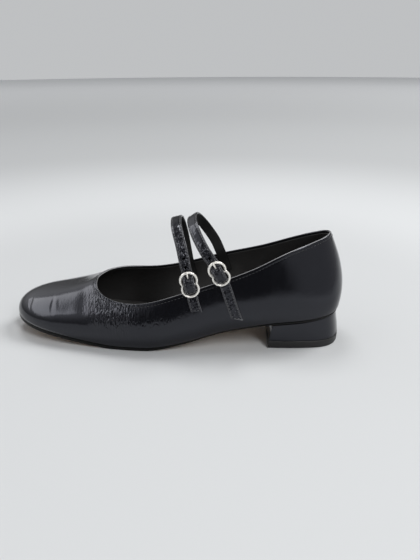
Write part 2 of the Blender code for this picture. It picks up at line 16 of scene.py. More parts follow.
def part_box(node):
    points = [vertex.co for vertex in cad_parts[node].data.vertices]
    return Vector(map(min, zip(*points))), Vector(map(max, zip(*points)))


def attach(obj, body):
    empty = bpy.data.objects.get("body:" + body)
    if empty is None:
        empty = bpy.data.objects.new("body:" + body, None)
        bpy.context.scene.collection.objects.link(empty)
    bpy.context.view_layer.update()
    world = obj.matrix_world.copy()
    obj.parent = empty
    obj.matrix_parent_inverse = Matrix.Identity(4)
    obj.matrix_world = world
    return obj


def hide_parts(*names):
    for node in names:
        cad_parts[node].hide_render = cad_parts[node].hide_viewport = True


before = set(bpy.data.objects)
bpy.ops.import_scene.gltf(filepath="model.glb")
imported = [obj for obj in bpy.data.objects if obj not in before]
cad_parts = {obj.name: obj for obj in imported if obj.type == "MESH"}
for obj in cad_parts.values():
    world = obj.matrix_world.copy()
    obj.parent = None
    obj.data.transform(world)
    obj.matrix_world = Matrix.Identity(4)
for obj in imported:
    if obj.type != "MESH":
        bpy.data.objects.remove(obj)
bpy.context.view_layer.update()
MM = 0.001

# ---------------------------------------------------------------- camera
# The eye of someone sitting in front of the shoe's outer side, a little nearer its heel,
# looking down on it from a little over 40 cm away.

LENS = 36.3
EYE = Vector((393.2, 35.4, 203.5)) * MM
EYE_TURN, EYE_DROP, EYE_TILT = radians(1.39), radians(22.42), radians(-0.37)


def linked(name, data):
    thing = bpy.data.objects.new(name, data)
    bpy.context.scene.collection.objects.link(thing)
    return thing


def aimed(place, look, roll):
    """Where a camera or lamp stands that looks along a direction, rolled about it."""
    turned = look.to_track_quat("-Z", "Y").to_matrix().to_4x4()
    return Matrix.Translation(place) @ turned @ Matrix.Rotation(roll, 4, "Z")


camera = linked("camera", bpy.data.cameras.new("camera"))
camera.data.lens = LENS
camera.data.clip_start = 0.01
look = Vector((-cos(EYE_DROP) * cos(EYE_TURN), -cos(EYE_DROP) * sin(EYE_TURN), -sin(EYE_DROP)))
camera.matrix_world = aimed(EYE, look, EYE_TILT)
bpy.context.scene.camera = camera

# ---------------------------------------------------------------- studio
# A pale table with painted shade and light in its tone: darker round the shoe and in a ring
# farther out, and lighter far off. It stands under a soft bright sky with one large window
# beyond the toe. The room is dim on the side of whoever looks at the shoe.

FLOOR_RADIUS = 4.0
FLOOR_TINT = (0.97, 0.99, 1.0)
# The floor's tone under the shoe, and how much painted light changes it between two distances
# away; a change below 0 is painted shade
FLOOR_TONE = 0.70
FLOOR_PAINTED_LIGHT_CHANGES = ((230, 400, 0.07), (400, 800, -0.19), (1300, 3400, 0.46))
# Where the bright end of the room and the open sky lie, as level directions
ROOM_LIES, SKY_LIES = (0.34, 0.94), (-0.09, -0.996)
SKY_COLOUR, BACKDROP_COLOUR = (0.98, 0.99, 1.02), (0.52, 0.53, 0.54)
SKY_KEPT_OFF_FLOOR = 0.65


class Number:
    """A socket that holds a number. Signs between numbers add Math nodes."""

    def __init__(self, nodes, socket):
        self.nodes = nodes
        self.socket = socket

    def __add__(self, other):
        return self.nodes.maths("ADD", self, other)

    def __sub__(self, other):
        return self.nodes.maths("SUBTRACT", self, other)

    def __rsub__(self, other):
        return self.nodes.maths("SUBTRACT", other, self)

    def __mul__(self, other):
        return self.nodes.maths("MULTIPLY", self, other)

    __radd__ = __add__
    __rmul__ = __mul__


class Nodes:
    """A node tree, with one way to add a node: its type, its settings and its inputs."""

    def __init__(self, tree):
        self.tree = tree
        self.places = None

    def add(self, kind, settings=None, inputs=None, output=0):
        node = self.tree.nodes.new("ShaderNode" + kind)
        for name, value in (settings or {}).items():
            setattr(node, name, value)
        self.fill(node, inputs or {})
        return Number(self, node.outputs[output])

    def fill(self, node, inputs):
        for name, value in inputs.items():
            if isinstance(value, Number):
                self.tree.links.new(value.socket, node.inputs[name])
            else:
                node.inputs[name].default_value = value

    def maths(self, operation, a, b):
        return self.add("Math", {"operation": operation}, {0: a, 1: b})

    def blend(self, share, a, b):
        """Colour a turning into colour b as share goes from 0 to 1."""
        return self.add("Mix", {"data_type": "RGBA"}, {0: share, 6: (*a, 1), 7: (*b, 1)}, output=2)

    def rise(self, value, low, high, bottom=0.0, top=1.0):
        """Smooth step from bottom to top as value goes from low to high."""
        return self.add("MapRange", {"interpolation_type": "SMOOTHSTEP"},
                        {"Value": value, "From Min": low, "From Max": high,
                         "To Min": bottom, "To Max": top})

    def measure(self, operation, *vectors):
        """A number that a Vector Math node finds from vectors."""
        return self.add("VectorMath", {"operation": operation}, dict(enumerate(vectors)),
                        output="Value")

    def object_places(self, scale=(1, 1, 1)):
        """Places on the piece in millimetres, squeezed along x, y and z by scale."""
        if self.places is None:
            self.places = self.add("TexCoord", output="Object")
        return self.add("Mapping", None, {"Vector": self.places,
                                          "Scale": [part / MM for part in scale]})

    def noise(self, scale, detail=2.0, stretch=(1, 1, 1)):
        return self.add("TexNoise", None,
                        {"Vector": self.object_places(stretch), "Scale": scale, "Detail": detail})

    def grain(self, scale, feature="F1", stretch=(1, 1, 1)):
        """Cells of leather. The feature says what is read off them."""
        return self.add("TexVoronoi", {"feature": feature},
                        {"Vector": self.object_places(stretch), "Scale": scale})

    def mark(self, name):
        """A number that a piece has at each of its points."""
        return self.add("Attribute", {"attribute_name": name}, output="Fac")

    def bump(self, strength, depth, height):
        """Facing of a surface that height, from 0 to 1, lifts by up to depth in millimetres."""
        return self.add("Bump", None, {"Strength": strength, "Distance": depth * MM,
                                       "Height": height}, output="Normal")


def finish(name, settings, draw=None):
    """A material: what is the same all over it, and a function that draws what varies."""
    made = bpy.data.materials.new(name)
    made.use_nodes = True
    nodes = Nodes(made.node_tree)
    shader = made.node_tree.nodes["Principled BSDF"]
    nodes.fill(shader, settings)
    if draw:
        nodes.fill(shader, draw(nodes))
    return made


# The floor's colour with its painted shade and light: darker round the shoe, lighter far off
def floor_tone_with_painted_light(nodes):
    away = nodes.measure("LENGTH", nodes.object_places())
    tone = FLOOR_TONE
    for near, far, change in FLOOR_PAINTED_LIGHT_CHANGES:
        tone = tone + nodes.rise(away, near, far, 0.0, change)
    return {"Base Color": nodes.blend(tone, (0.0, 0.0, 0.0), FLOOR_TINT)}


def meshed(name, build):
    """A mesh from a bmesh, which is freed."""
    mesh = bpy.data.meshes.new(name)
    build.to_mesh(mesh)
    build.free()
    return mesh


build = bmesh.new()
bmesh.ops.create_circle(build, cap_ends=True, segments=96, radius=FLOOR_RADIUS)
mesh = meshed("floor", build)
mesh.materials.append(finish("floor", {"Roughness": 0.6, "Specular IOR Level": 0.2}, floor_tone_with_painted_light))
linked("floor", mesh)

Light = namedtuple("Light", "name place size roll watts")
LIGHTS = (
    Light("window",      (0.00, -2.62, 1.93),  (3.80, 1.30), -16.0, 33.0),
    Light("back lamp",   (-1.25, -0.30, 2.98), (1.05, 1.05), 0.0, 26.0),
    Light("side lamp",   (-0.70, 1.75, 2.40),  (1.30, 1.30), 0.0, 42.0),
    Light("front lamp",  (1.60, 1.10, 2.00),   (0.60, 1.90), 0.0, 30.0),
)
for light in LIGHTS:
    lamp = bpy.data.lights.new(light.name, "AREA")
    lamp.shape = "RECTANGLE"
    lamp.size, lamp.size_y = light.size
    lamp.energy = light.watts
    lamp = linked(light.name, lamp)
    lamp.visible_camera = False
    lamp.visible_diffuse = light.name != "window"
    place = Vector(light.place)
    lamp.matrix_world = aimed(place, -place, radians(light.roll))

world = bpy.data.worlds.new("studio")
world.use_nodes = True
bpy.context.scene.world = world
bpy.context.scene.view_settings.view_transform = "Standard"
nodes = Nodes(world.node_tree)
sight = nodes.add("TexCoord", output="Generated")
up = nodes.add("SeparateXYZ", None, {0: sight}, output="Z")


def towards(x, y):
    """How squarely a direction looks along a level one, from -1 to 1."""
    return nodes.measure("DOT_PRODUCT", sight, (x, y, 0))


room = nodes.rise(towards(*ROOM_LIES), 0.5, 0.7, 0.09, 0.50)
sky = nodes.rise(towards(*SKY_LIES), 0.1, 0.85) * nodes.rise(up, 0.05, 0.6, 0.20, 1.15)
camera_ray = nodes.add("LightPath", output="Is Camera Ray")
floor_ray = nodes.add("LightPath", output="Is Diffuse Ray")
strength = room + sky * (1 - floor_ray * SKY_KEPT_OFF_FLOOR)
nodes.fill(world.node_tree.nodes["Background"],
           {"Color": nodes.blend(camera_ray, SKY_COLOUR, BACKDROP_COLOUR),
            "Strength": camera_ray + (1 - camera_ray) * strength})

# ---------------------------------------------------------------- upper
# Black patent leather, cut in one piece and pulled over the last. Its edge is folded in and
# stitched round the collar, and its lower edge is turned under and glued to the insole.

DATUM_Y = 125.0
WALL = 1.8
LEATHER = 0.9
CURVE_SAMPLES = 360

Rib = namedtuple("Rib", "place feather_s feather_x collar_s collar_x collar_z "
                        "out_low up_low out_high down_high")
RIBS = (
    Rib("back",           4.6,   0.0,  13.2,   0.0, 79.5, 4.5, 16.0,  9.0, 21.0),
    Rib("back outer",     7.4,  16.5,  19.6,  13.5, 79.0, 5.0, 18.0,  7.5, 20.0),
    Rib("seat outer",    19.5,  28.0,  43.0,  24.5, 72.5, 4.5, 17.5,  3.5, 19.0),
    Rib("breast outer",  54.0,  31.0,  66.5,  27.0, 61.5, 5.5, 14.0,  4.5, 16.0),
    Rib("waist outer",   92.0,  31.0,  94.5,  29.5, 51.0, 6.0, 11.5,  4.5, 14.0),
    Rib("arch outer",   125.0,  35.5, 124.5,  32.5, 42.0, 6.0, 11.0,  4.5, 12.0),
    Rib("ball outer",   155.0,  36.0, 152.0,  32.0, 35.4, 4.5, 11.0,  7.5, 10.0),
    Rib("fore outer",   184.0,  31.5, 174.0,  24.5, 36.5, 4.0, 11.5, 10.0,  8.0),
    Rib("toe outer",    214.0,  25.0, 184.0,  14.0, 40.5, 3.5, 13.0, 17.0,  8.5),
    Rib("corner outer", 239.5,  13.0, 186.0,   4.5, 43.5, 3.0, 17.0, 28.0, 12.0),
    Rib("tip",          251.0,  -6.0, 185.4,  -4.0, 43.8, 0.5, 22.0, 31.5, 15.5),
    Rib("corner inner", 244.0, -23.5, 182.4, -12.5, 43.6, 3.0, 22.0, 27.0, 14.0),
    Rib("toe inner",    223.0, -34.5, 178.0, -21.5, 42.7, 4.0, 16.0, 18.0, 10.0),
    Rib("fore inner",   196.0, -38.5, 166.5, -29.5, 41.6, 4.0, 12.0, 10.0,  8.0),
    Rib("ball inner",   168.0, -37.5, 148.0, -33.5, 40.2, 4.5, 11.0,  7.0, 10.0),
    Rib("arch inner",   135.0, -28.5, 121.0, -33.0, 44.0, 7.0, 11.0,  4.5, 12.0),
    Rib("waist inner",   98.0, -20.5,  91.0, -30.5, 52.5, 9.0, 12.0,  4.0, 14.0),
    Rib("breast inner",  58.0, -24.0,  60.0, -26.5, 60.5, 7.0, 15.0,  4.5, 16.0),
    Rib("seat inner",    25.0, -25.5,  36.5, -22.5, 68.5, 6.0, 18.0,  4.0, 19.0),
    Rib("back inner",     8.6, -16.0,  17.6, -13.5, 76.0, 5.0, 18.0,  7.5, 20.0),
)

Section = namedtuple("Section", "s feather_z sole_thickness sole_inset")
SECTIONS = (
    Section(0.0,   28.2, 1.5, 0.6),
    Section(28.0,  23.2, 1.5, 0.6),
    Section(56.0,  20.2, 1.5, 0.9),
    Section(92.0,  13.8, 1.6, 1.6),
    Section(122.0,  6.4, 2.0, 1.4),
    Section(148.0,  2.9, 2.6, 0.6),
    Section(170.0,  2.9, 2.6, 0.4),
    Section(190.0,  4.8, 2.6, 0.3),
    Section(212.0,  7.9, 2.6, 0.2),
    Section(232.0, 10.8, 2.6, 0.1),
    Section(252.0, 14.2, 2.6, 0.0),
)


def unit(rows):
    return rows / np.linalg.norm(rows, axis=-1)[..., None]


def lengths(lines):
    """Distance run at each point of one or several lines, from 0 at the start of each."""
    leg = np.linalg.norm(np.diff(lines, axis=-2), axis=-1)
    return np.concatenate([np.zeros((*leg.shape[:-1], 1)), np.cumsum(leg, axis=-1)], axis=-1)


def read_off(at, known, rows):
    """Rows of values at places between the known ones."""
    return np.stack([np.interp(at, known, column) for column in rows.T], axis=-1)


def hermite(t, leg, low, high, low_slope, high_slope):
    """Cubic from low to high over a leg, as t goes from 0 to 1, with the slopes at its ends."""
    return ((2 * t ** 3 - 3 * t ** 2 + 1) * low + (t ** 3 - 2 * t ** 2 + t) * leg * low_slope
            + (3 * t ** 2 - 2 * t ** 3) * high + (t ** 3 - t ** 2) * leg * high_slope)


def closed_spline(knots, rows, period, at):
    """Cubic spline through rows of values, closed on itself."""
    count = len(knots)
    step = np.diff(np.append(knots, knots[0] + period))
    matrix = np.zeros((count, count))
    bend = np.zeros_like(rows)
    for i in range(count):
        before, after = i - 1, (i + 1) % count
        matrix[i, before] += step[before]
        matrix[i, i] += 2 * (step[before] + step[i])
        matrix[i, after] += step[i]
        bend[i] = 6 * ((rows[after] - rows[i]) / step[i] - (rows[i] - rows[before]) / step[before])
    bend = np.linalg.solve(matrix, bend)
    at = np.mod(at - knots[0], period) + knots[0]
    i = np.clip(np.searchsorted(knots, at, side="right") - 1, 0, count - 1)
    j = (i + 1) % count
    width = step[i][:, None]
    b = ((at - knots[i]) / step[i])[:, None]
    a = 1 - b
    bent = (a ** 3 - a) * bend[i] + (b ** 3 - b) * bend[j]
    return a * rows[i] + b * rows[j] + width ** 2 / 6 * bent


def along_shoe(column, s):
    """A column of SECTIONS at any station, rising or falling smoothly and flat where it is flat."""
    x = np.array([row.s for row in SECTIONS])
    y = np.array([getattr(row, column) for row in SECTIONS])
    step = np.diff(x)
    leg = np.diff(y) / step
    slope = np.zeros_like(y)
    slope[0], slope[-1] = leg[0], leg[-1]
    for i in range(1, len(x) - 1):
        if leg[i - 1] * leg[i] > 0:
            w1 = 2 * step[i] + step[i - 1]
            w2 = step[i] + 2 * step[i - 1]
            slope[i] = (w1 + w2) / (w1 / leg[i - 1] + w2 / leg[i])
    i = np.clip(np.searchsorted(x, s) - 1, 0, len(leg) - 1)
    return hermite((s - x[i]) / step[i], step[i], y[i], y[i + 1], slope[i], slope[i + 1])


def feather_z(s):
    return along_shoe("feather_z", s)


def rib_values(around):
    """The ribs' numbers at any place around the shoe, from 0 at the back, outer side first."""
    rows = np.array([rib[1:] for rib in RIBS])
    middle = (rows[:, 0:2] + rows[:, 2:4]) / 2
    step = np.linalg.norm(np.roll(middle, -1, axis=0) - middle, axis=1)
    knots = np.concatenate([[0.0], np.cumsum(step)[:-1]])
    return closed_spline(knots, rows, step.sum(), around * step.sum())


def outward(curve):
    """Unit vectors square to a closed plan curve of (s, x) points, pointing out of it."""
    along = np.roll(curve, -1, axis=0) - np.roll(curve, 1, axis=0)
    return unit(np.stack([-along[:, 1], along[:, 0]], axis=1))


def inset(curve, distance):
    """A closed plan curve moved in, by one distance or by one for each of its points."""
    return curve - outward(curve) * np.reshape(distance, (-1, 1))


def skin(around, rows):
    """Outer face of the upper as points[column, row] of (s, x, z), feather edge to collar."""
    value = rib_values(around)
    feather, collar = value[:, 0:2], value[:, 2:4]
    low = feather + outward(feather) * value[:, 5:6]
    high = collar + outward(collar) * value[:, 7:8]
    floor = feather_z(feather[:, 0])
    control = [
        np.column_stack([feather, floor]),
        np.column_stack([low, floor + value[:, 6]]),
        np.column_stack([high, value[:, 4] - value[:, 8]]),
        np.column_stack([collar, value[:, 4]]),
    ]
    t = rows[None, :, None]
    a, b, c, d = (point[:, None, :] for point in control)
    return a * (1 - t) ** 3 + 3 * b * t * (1 - t) ** 2 + 3 * c * t ** 2 * (1 - t) + d * t ** 3


def facing(face):
    """Unit vectors square to a face of points[column, row], pointing out of the shoe."""
    across = np.roll(face, -1, axis=0) - np.roll(face, 1, axis=0)
    normal = unit(np.cross(np.gradient(face, axis=1), across))
    outside = np.column_stack([outward(face[:, 0, :2]), np.zeros(len(face))])
    turned_in = np.sum(normal[:, len(face[0]) // 3] * outside) < 0
    return -normal if turned_in else normal


def at_heights(face, from_foot, middle, from_collar):
    """A finer face with rows at set distances from its foot and collar, and even ones between."""
    found = []
    for line, climb in zip(face, lengths(face)):
        low, high = from_foot[-1], climb[-1] - from_collar[0]
        between = np.linspace(low, high, middle + 2)[1:-1]
        wanted = np.concatenate([from_foot, between, climb[-1] - np.array(from_collar)])
        found.append(read_off(wanted, climb, line))
    return np.array(found)


def to_world(points):
    """(s, x, z) in millimetres to (x, y, z) in metres, before the shoe stands on its origin."""
    s, x, z = np.moveaxis(np.asarray(points, dtype=float), -1, 0)
    return np.stack([x, DATUM_Y - s, z], axis=-1) * MM


FINE = np.arange(CURVE_SAMPLES) / CURVE_SAMPLES
FEATHER_EDGE = rib_values(FINE)[:, 0:2]
FINE_ROWS = np.linspace(0.0, 1.0, 41)
FINE_SKIN = skin(FINE, FINE_ROWS)
TIP = int(np.argmax(FEATHER_EDGE[:, 0]))

# The frame's upper, whose box gives where the last stands in the frame
upper_low, upper_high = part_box("upper")
last_box = to_world(FINE_SKIN).reshape(-1, 3)
STAND = np.array(Vector((
    (upper_low.x + upper_high.x - last_box[:, 0].min() - last_box[:, 0].max()) / 2,
    (upper_low.y + upper_high.y - last_box[:, 1].min() - last_box[:, 1].max()) / 2,
    0.0,
)))


def on_stand(points):
    """(s, x, z) in millimetres to the frame's metres."""
    return to_world(points) + STAND


def draped(placed, columns_meet=True, rows_meet=False, marks=None, other_finish=()):
    """A grid with a UV map, its points moved to placed[column, row] and its seams closed.

    Marks are named numbers for each point, which a finish reads as attributes. The strips of
    faces that start at the rows in other_finish get the piece's second finish.
    """
    def closed(values):
        if columns_meet:
            values = np.concatenate([values, values[:1]], axis=0)
        if rows_meet:
            values = np.concatenate([values, values[:, :1]], axis=1)
        return np.moveaxis(values, 0, 1)

    placed = closed(placed)
    rows, columns = placed.shape[:2]
    build = bmesh.new()
    build.loops.layers.uv.new("UVMap")
    bmesh.ops.create_grid(build, x_segments=columns - 1, y_segments=rows - 1, size=0.5,
                          calc_uvs=True)
    for vertex, place in zip(build.verts, placed.reshape(-1, 3)):
        vertex.co = place
    for face, row in zip(build.faces, np.repeat(np.arange(rows - 1), columns - 1)):
        face.material_index = int(row in other_finish)
    for name, values in (marks or {}).items():
        layer = build.verts.layers.float.new(name)
        for vertex, value in zip(build.verts, closed(values).ravel()):
            vertex[layer] = value
    bmesh.ops.remove_doubles(build, verts=build.verts, dist=0.000002)
    bmesh.ops.dissolve_degenerate(build, dist=0.000001, edges=build.edges)
    return build


def shown(name, build, finishes, nodes=(), sharp=None):
    """A finished piece from a closed bmesh, facing out, that stands for the frame's nodes."""
    bmesh.ops.recalc_face_normals(build, faces=build.faces)
    mesh = meshed(name, build)
    for made in finishes:
        mesh.materials.append(made)
    mesh.shade_smooth()
    if sharp:
        mesh.set_sharp_from_angle(angle=radians(sharp))
    thing = linked(name, mesh)
    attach(thing, "root")
    if nodes:
        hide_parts(*nodes)


# Folds of the leather. An angle goes round the foot from 0 at its outer side over 90 on top
# to 180 at its inner side. Swing is how far forward a crease runs for each radian of it, and
# a depth below 0 is a ridge.
Crease = namedtuple("Crease", "station swing angle spread width depth")
CREASES = (
    Crease(236.5,   2.0,  36.0, 16.0, 0.9,  0.34),
    Crease(239.0,   1.0,  36.0, 12.0, 1.2, -0.08),
    Crease(217.5,   2.5,  33.0, 15.0, 1.0,  0.20),
    Crease(214.5,   1.5,  35.0, 14.0, 1.4, -0.10),
    Crease(192.0,   4.0,  45.0, 26.0, 5.0,  0.60),
    Crease(186.0,   3.0,  40.0, 20.0, 2.0, -0.16),
    Crease(187.0,   5.0,  42.0, 24.0, 1.3,  0.22),
    Crease(181.5,   3.0,  36.0, 22.0, 1.6, -0.14),
    Crease(177.0,   6.0,  34.0, 20.0, 1.1,  0.18),
    Crease(171.5,   3.0,  30.0, 20.0, 1.6,  0.24),
    Crease(166.5,   5.0,  27.0, 18.0, 1.3,  0.20),
    Crease(161.0,   2.0,  24.0, 17.0, 1.8,  0.14),
    Crease(194.0,  -3.0, 138.0, 24.0, 3.0,  0.25),
    Crease(184.0,  -4.0, 142.0, 22.0, 1.5,  0.16),
    Crease(174.0,  -3.0, 146.0, 20.0, 1.5,  0.16),
)

# Where the leather is crinkled most: middle station and angle, and how far it reaches
Crinkle = namedtuple("Crinkle", "station reach angle spread depth")
CRINKLES = (
    Crinkle(181.5,  8.0,  40.0, 20.0, 1.00),
    Crinkle(165.0, 11.0,  30.0, 20.0, 1.00),
    Crinkle(173.0, 12.0,  36.0, 22.0, 0.45),
    Crinkle(140.0, 22.0,  18.0, 22.0, 0.35),
    Crinkle(182.0, 20.0, 142.0, 24.0, 0.60),
)
PLAIN_CRINKLE = 0.04

COLUMNS = 700
MIDDLE_ROWS = 92
BASE_ROWS = np.linspace(0, 1, 161)
FOOT_ROWS = (0.0, 0.12, 0.3, 0.5, 0.75, 1.1, 1.6, 2.2)
COLLAR_ROWS = (3.6, 3.1, 2.7, 2.4, 2.15, 1.95, 1.75, 1.5, 1.2, 0.9, 0.6, 0.3, 0.0)
TURN_RADIUS = 0.9
UNDER_ROWS = (6.0, 3.5, 1.8)
INNER_ROWS = 20
FOLD_RADIUS = 0.75
FOLD_ROWS = 12
FOLD_TURNS = np.linspace(0, pi, FOLD_ROWS + 1)[1:]
FOLD_CREST, CREST_WIDTH = 1.3, 0.45
FOLDED_IN = 0.5
STITCH_DOWN = 1.95
GROOVE_WIDTH, GROOVE_DEPTH = 0.35, 0.06
BEAD_DOWN, BEAD_WIDTH, BEAD_HEIGHT = 0.9, 0.6, 0.015

# Sizes and depths of the leather's relief, and how far along the shoe its cushions wander
CUSHION_SIZE, CUSHION_DEPTH, CUSHION_DRIFT = 2.4, 0.12, 0.8
WRINKLE_SIZE, WRINKLE_DEPTH = 1.9, 0.12
# Both are drawn out round the foot, by one over the smaller numbers
CUSHION_SQUEEZE, WRINKLE_SQUEEZE = (1, 0.45, 0.45), (1, 0.25, 0.25)
# Broad waves of the leather: size, depth and where in the pattern they are taken from
WAVES = ((21.0, 0.17, 0), (8.0, 0.05, 90))
RELIEF_FADE = 4.0

# Stations of the outer side of the collar's fold and how strong the painted highlight on its crest
# is there
FOLD_HIGHLIGHT_AT, FOLD_HIGHLIGHT = (10, 30, 110, 150, 175), (0.7, 1.0, 1.0, 0.55, 0.40)
FOLD_HIGHLIGHT_INSIDE = 0.55
# The light grey of the painted highlights on the fold's crest, along the toe's foot and on the
# straps' edges
PAINTED_HIGHLIGHT_GREY = (0.60, 0.60, 0.61)
# A painted highlight line along the toe's foot: its row, first station, reach and strength
TOE_LINE_ROW, TOE_LINE_FROM, TOE_LINE_REACH, TOE_LINE_HIGHLIGHT = 5, 200, 35, 0.26


def girth_angle(points):
    """How far round the foot a point lies, in degrees from the outer side over the top."""
    s, x, z = np.moveaxis(points, -1, 0)
    middle = np.interp(s, (60, 150, 200, 250), (3, 0, -5, -7))
    return np.degrees(np.arctan2(z - feather_z(s) - 5, x - middle))


def bell(distance, width):
    return np.exp(-(distance / width) ** 2)


def crinkle_depth(s, angle):
    found = np.full_like(s, PLAIN_CRINKLE)
    for spot in CRINKLES:
        near = bell(s - spot.station, spot.reach) * bell(angle - spot.angle, spot.spread)
        found += spot.depth * near
    return np.clip(found, 0, 1)


def cells(places, size):
    """Soft cushions between thin valleys, as crinkled leather has, from 0 to 1."""
    near = [noise.voronoi(place / size)[0] for place in places.reshape(-1, 3)]
    found = np.array([row[1] - row[0] for row in near])
    return np.clip(found * 1.6, 0, 1).reshape(places.shape[:-1])


def waves(places, size):
    found = [noise.noise(place / size) for place in places.reshape(-1, 3)]
    return np.array(found).reshape(places.shape[:-1])


def leather_relief(points, angle, height):
    """How far the leather stands off the last, in millimetres."""
    s = points[..., 0]
    relief = np.zeros_like(s)
    for crease in CREASES:
        line = crease.station + crease.swing * np.radians(angle - crease.angle)
        line = line + 0.5 * np.sin(np.radians(angle) * 9 + crease.station)
        fade = bell(angle - crease.angle, crease.spread)
        relief -= crease.depth * fade * bell(s - line, crease.width)
    depth = crinkle_depth(s, angle)
    warped = points * CUSHION_SQUEEZE
    warped[..., 0] += CUSHION_DRIFT * waves(points + 40, 9.0)
    relief += depth * (CUSHION_DEPTH * (cells(warped, CUSHION_SIZE) - 0.5))
    relief += depth * WRINKLE_DEPTH * waves(points * WRINKLE_SQUEEZE, WRINKLE_SIZE)
    relief += sum(depth * waves(points + move, size) for size, depth, move in WAVES)
    return relief * np.clip(height / RELIEF_FADE, 0, 1)


places = np.arange(COLUMNS) / COLUMNS
outer = at_heights(skin(places, BASE_ROWS), FOOT_ROWS, MIDDLE_ROWS, COLLAR_ROWS)
normal = facing(outer)
height = outer[:, :, 2] - feather_z(outer[:, :, 0])
from_collar = lengths(outer[:, ::-1])[:, ::-1]
relief = leather_relief(outer, girth_angle(outer), height)
relief *= np.clip((from_collar - 1.0) / RELIEF_FADE, 0, 1)
relief -= GROOVE_DEPTH * bell(from_collar - STITCH_DOWN, GROOVE_WIDTH)
relief += BEAD_HEIGHT * bell(from_collar - BEAD_DOWN, BEAD_WIDTH)
leather = outer + normal * relief[:, :, None]

# At its foot the leather curves in, to turn under the shoe
plan_out = np.column_stack([outward(outer[:, 0, :2]), np.zeros(COLUMNS)])
climb = np.clip(from_collar[:, :1] - from_collar, 0, None)
turn = TURN_RADIUS * (1 - np.sqrt(1 - np.clip(1 - climb / TURN_RADIUS, 0, 1) ** 2))
leather = leather - plan_out[:, None, :] * turn[:, :, None]


def margin_line(width, level=0.0):
    """A line on the turned-in margin, in from the feather edge and raised by level."""
    line = inset(outer[:, 0, :2], width)
    return np.column_stack([line, feather_z(line[:, 0]) + level])


top_normal = normal[:, -1]
rise = unit(leather[:, -1] - leather[:, -2])
fold_middle = leather[:, -1] - top_normal * FOLD_RADIUS
fold = [fold_middle + FOLD_RADIUS * (cos(turned) * top_normal + sin(turned) * rise)
        for turned in FOLD_TURNS]

back_face = []
for part in np.linspace(1, 0, INNER_ROWS + 1)[1:]:
    row = np.clip(part * (outer.shape[1] - 1), 2, outer.shape[1] - 4)
    low = int(row)
    place = outer[:, low] * (1 - row + low) + outer[:, low + 1] * (row - low)
    back_face.append(place - normal[:, low] * (LEATHER + FOLDED_IN * part ** 8))
back_face.append(margin_line(UNDER_ROWS[0], LEATHER))

rings = np.stack([margin_line(width) for width in UNDER_ROWS] + list(np.moveaxis(leather, 1, 0))
                 + fold + back_face, axis=1)
crinkle = crinkle_depth(rings[:, :, 0], girth_angle(rings))

# The crest of the fold gets a painted highlight, a thin light grey line that is strongest along
# the outer side, and the toe gets a painted highlight line along its foot
crest_highlight = np.zeros(rings.shape[1])
first_fold = len(UNDER_ROWS) + leather.shape[1]
crest_highlight[first_fold:first_fold + FOLD_ROWS] = bell(FOLD_TURNS - FOLD_CREST, CREST_WIDTH)
station, x = rings[:, first_fold, 0], rings[:, first_fold, 1]
along = np.where(x > 0, np.interp(station, FOLD_HIGHLIGHT_AT, FOLD_HIGHLIGHT), FOLD_HIGHLIGHT_INSIDE)
worn = along[:, None] * crest_highlight[None, :]
# Painted highlight along the toe's foot, growing towards the tip
toe_line = len(UNDER_ROWS) + TOE_LINE_ROW
for row, part in ((toe_line - 1, 0.5), (toe_line, 1.0), (toe_line + 1, 0.5)):
    reached = np.clip((rings[:, row, 0] - TOE_LINE_FROM) / TOE_LINE_REACH, 0, 1)
    worn[:, row] = part * TOE_LINE_HIGHLIGHT * reached

PATENT_BLACK = (0.0022, 0.0023, 0.0034)
PATENT = {"Base Color": (*PATENT_BLACK, 1), "IOR": 1.5, "Specular IOR Level": 0.56,
          "Specular Tint": (0.87, 0.89, 1.0, 1), "Coat Weight": 0.0}


def patent_draw(stretch, cushion_size, deep, dull):
    """Gloss that dulls a little here and there, over a fine crinkle that follows its mark.

    The crinkle is drawn out round the foot by one over stretch, and its cushions and its
    depth are in millimetres.
    """
    def draw(nodes):
        squeeze = (stretch, 1.0, stretch)
        mark, worn = nodes.mark("crinkle"), nodes.mark("worn")
        cushion = nodes.rise(nodes.grain(1 / cushion_size, "DISTANCE_TO_EDGE", squeeze), 0.0, 0.22)
        fine = nodes.noise(1.2 / cushion_size, stretch=squeeze)
        gloss = nodes.rise(nodes.noise(0.3, stretch=squeeze), 0.3, 0.8, dull, dull + 0.06)
        height = cushion * mark * 0.7 + fine * mark + nodes.noise(2.2) * 0.05
        # Where the worn mark is, a light grey is blended in as a painted highlight, and the gloss
        # dulls
        return {"Base Color": nodes.blend(worn, PATENT_BLACK, PAINTED_HIGHLIGHT_GREY),
                "Roughness": gloss + worn * 0.3, "Normal": nodes.bump(1.0, deep, height)}

    return draw


patent = finish("patent_leather", PATENT, patent_draw(0.30, 1.8, 0.26, 0.12))
shown("upper_leather",
      draped(on_stand(rings), rows_meet=True, marks={"crinkle": crinkle, "worn": worn}),
      [patent], ["upper"])

# ---------------------------------------------------------------- lining
# Thin black leather glued inside the upper. Its top edge is caught by the collar's stitching
# a little below the fold, and its foot runs down behind the insole.

LINING = 0.8
LINING_DOWN = 1.6
LINING_COLUMNS = 360
LINING_ROWS = 48

line_rows = at_heights(skin(np.arange(LINING_COLUMNS) / LINING_COLUMNS, BASE_ROWS), (2.2, 3.0),
                       LINING_ROWS, (LINING_DOWN + 0.5, LINING_DOWN))
normal = facing(line_rows)
inside = line_rows - normal * WALL
outside = line_rows - normal * (WALL - LINING + 0.05)
lip = (inside[:, -1] + outside[:, -1]) / 2
lip[:, 2] += 0.3
rings = np.concatenate([inside, lip[:, None], outside[:, ::-4]], axis=1)


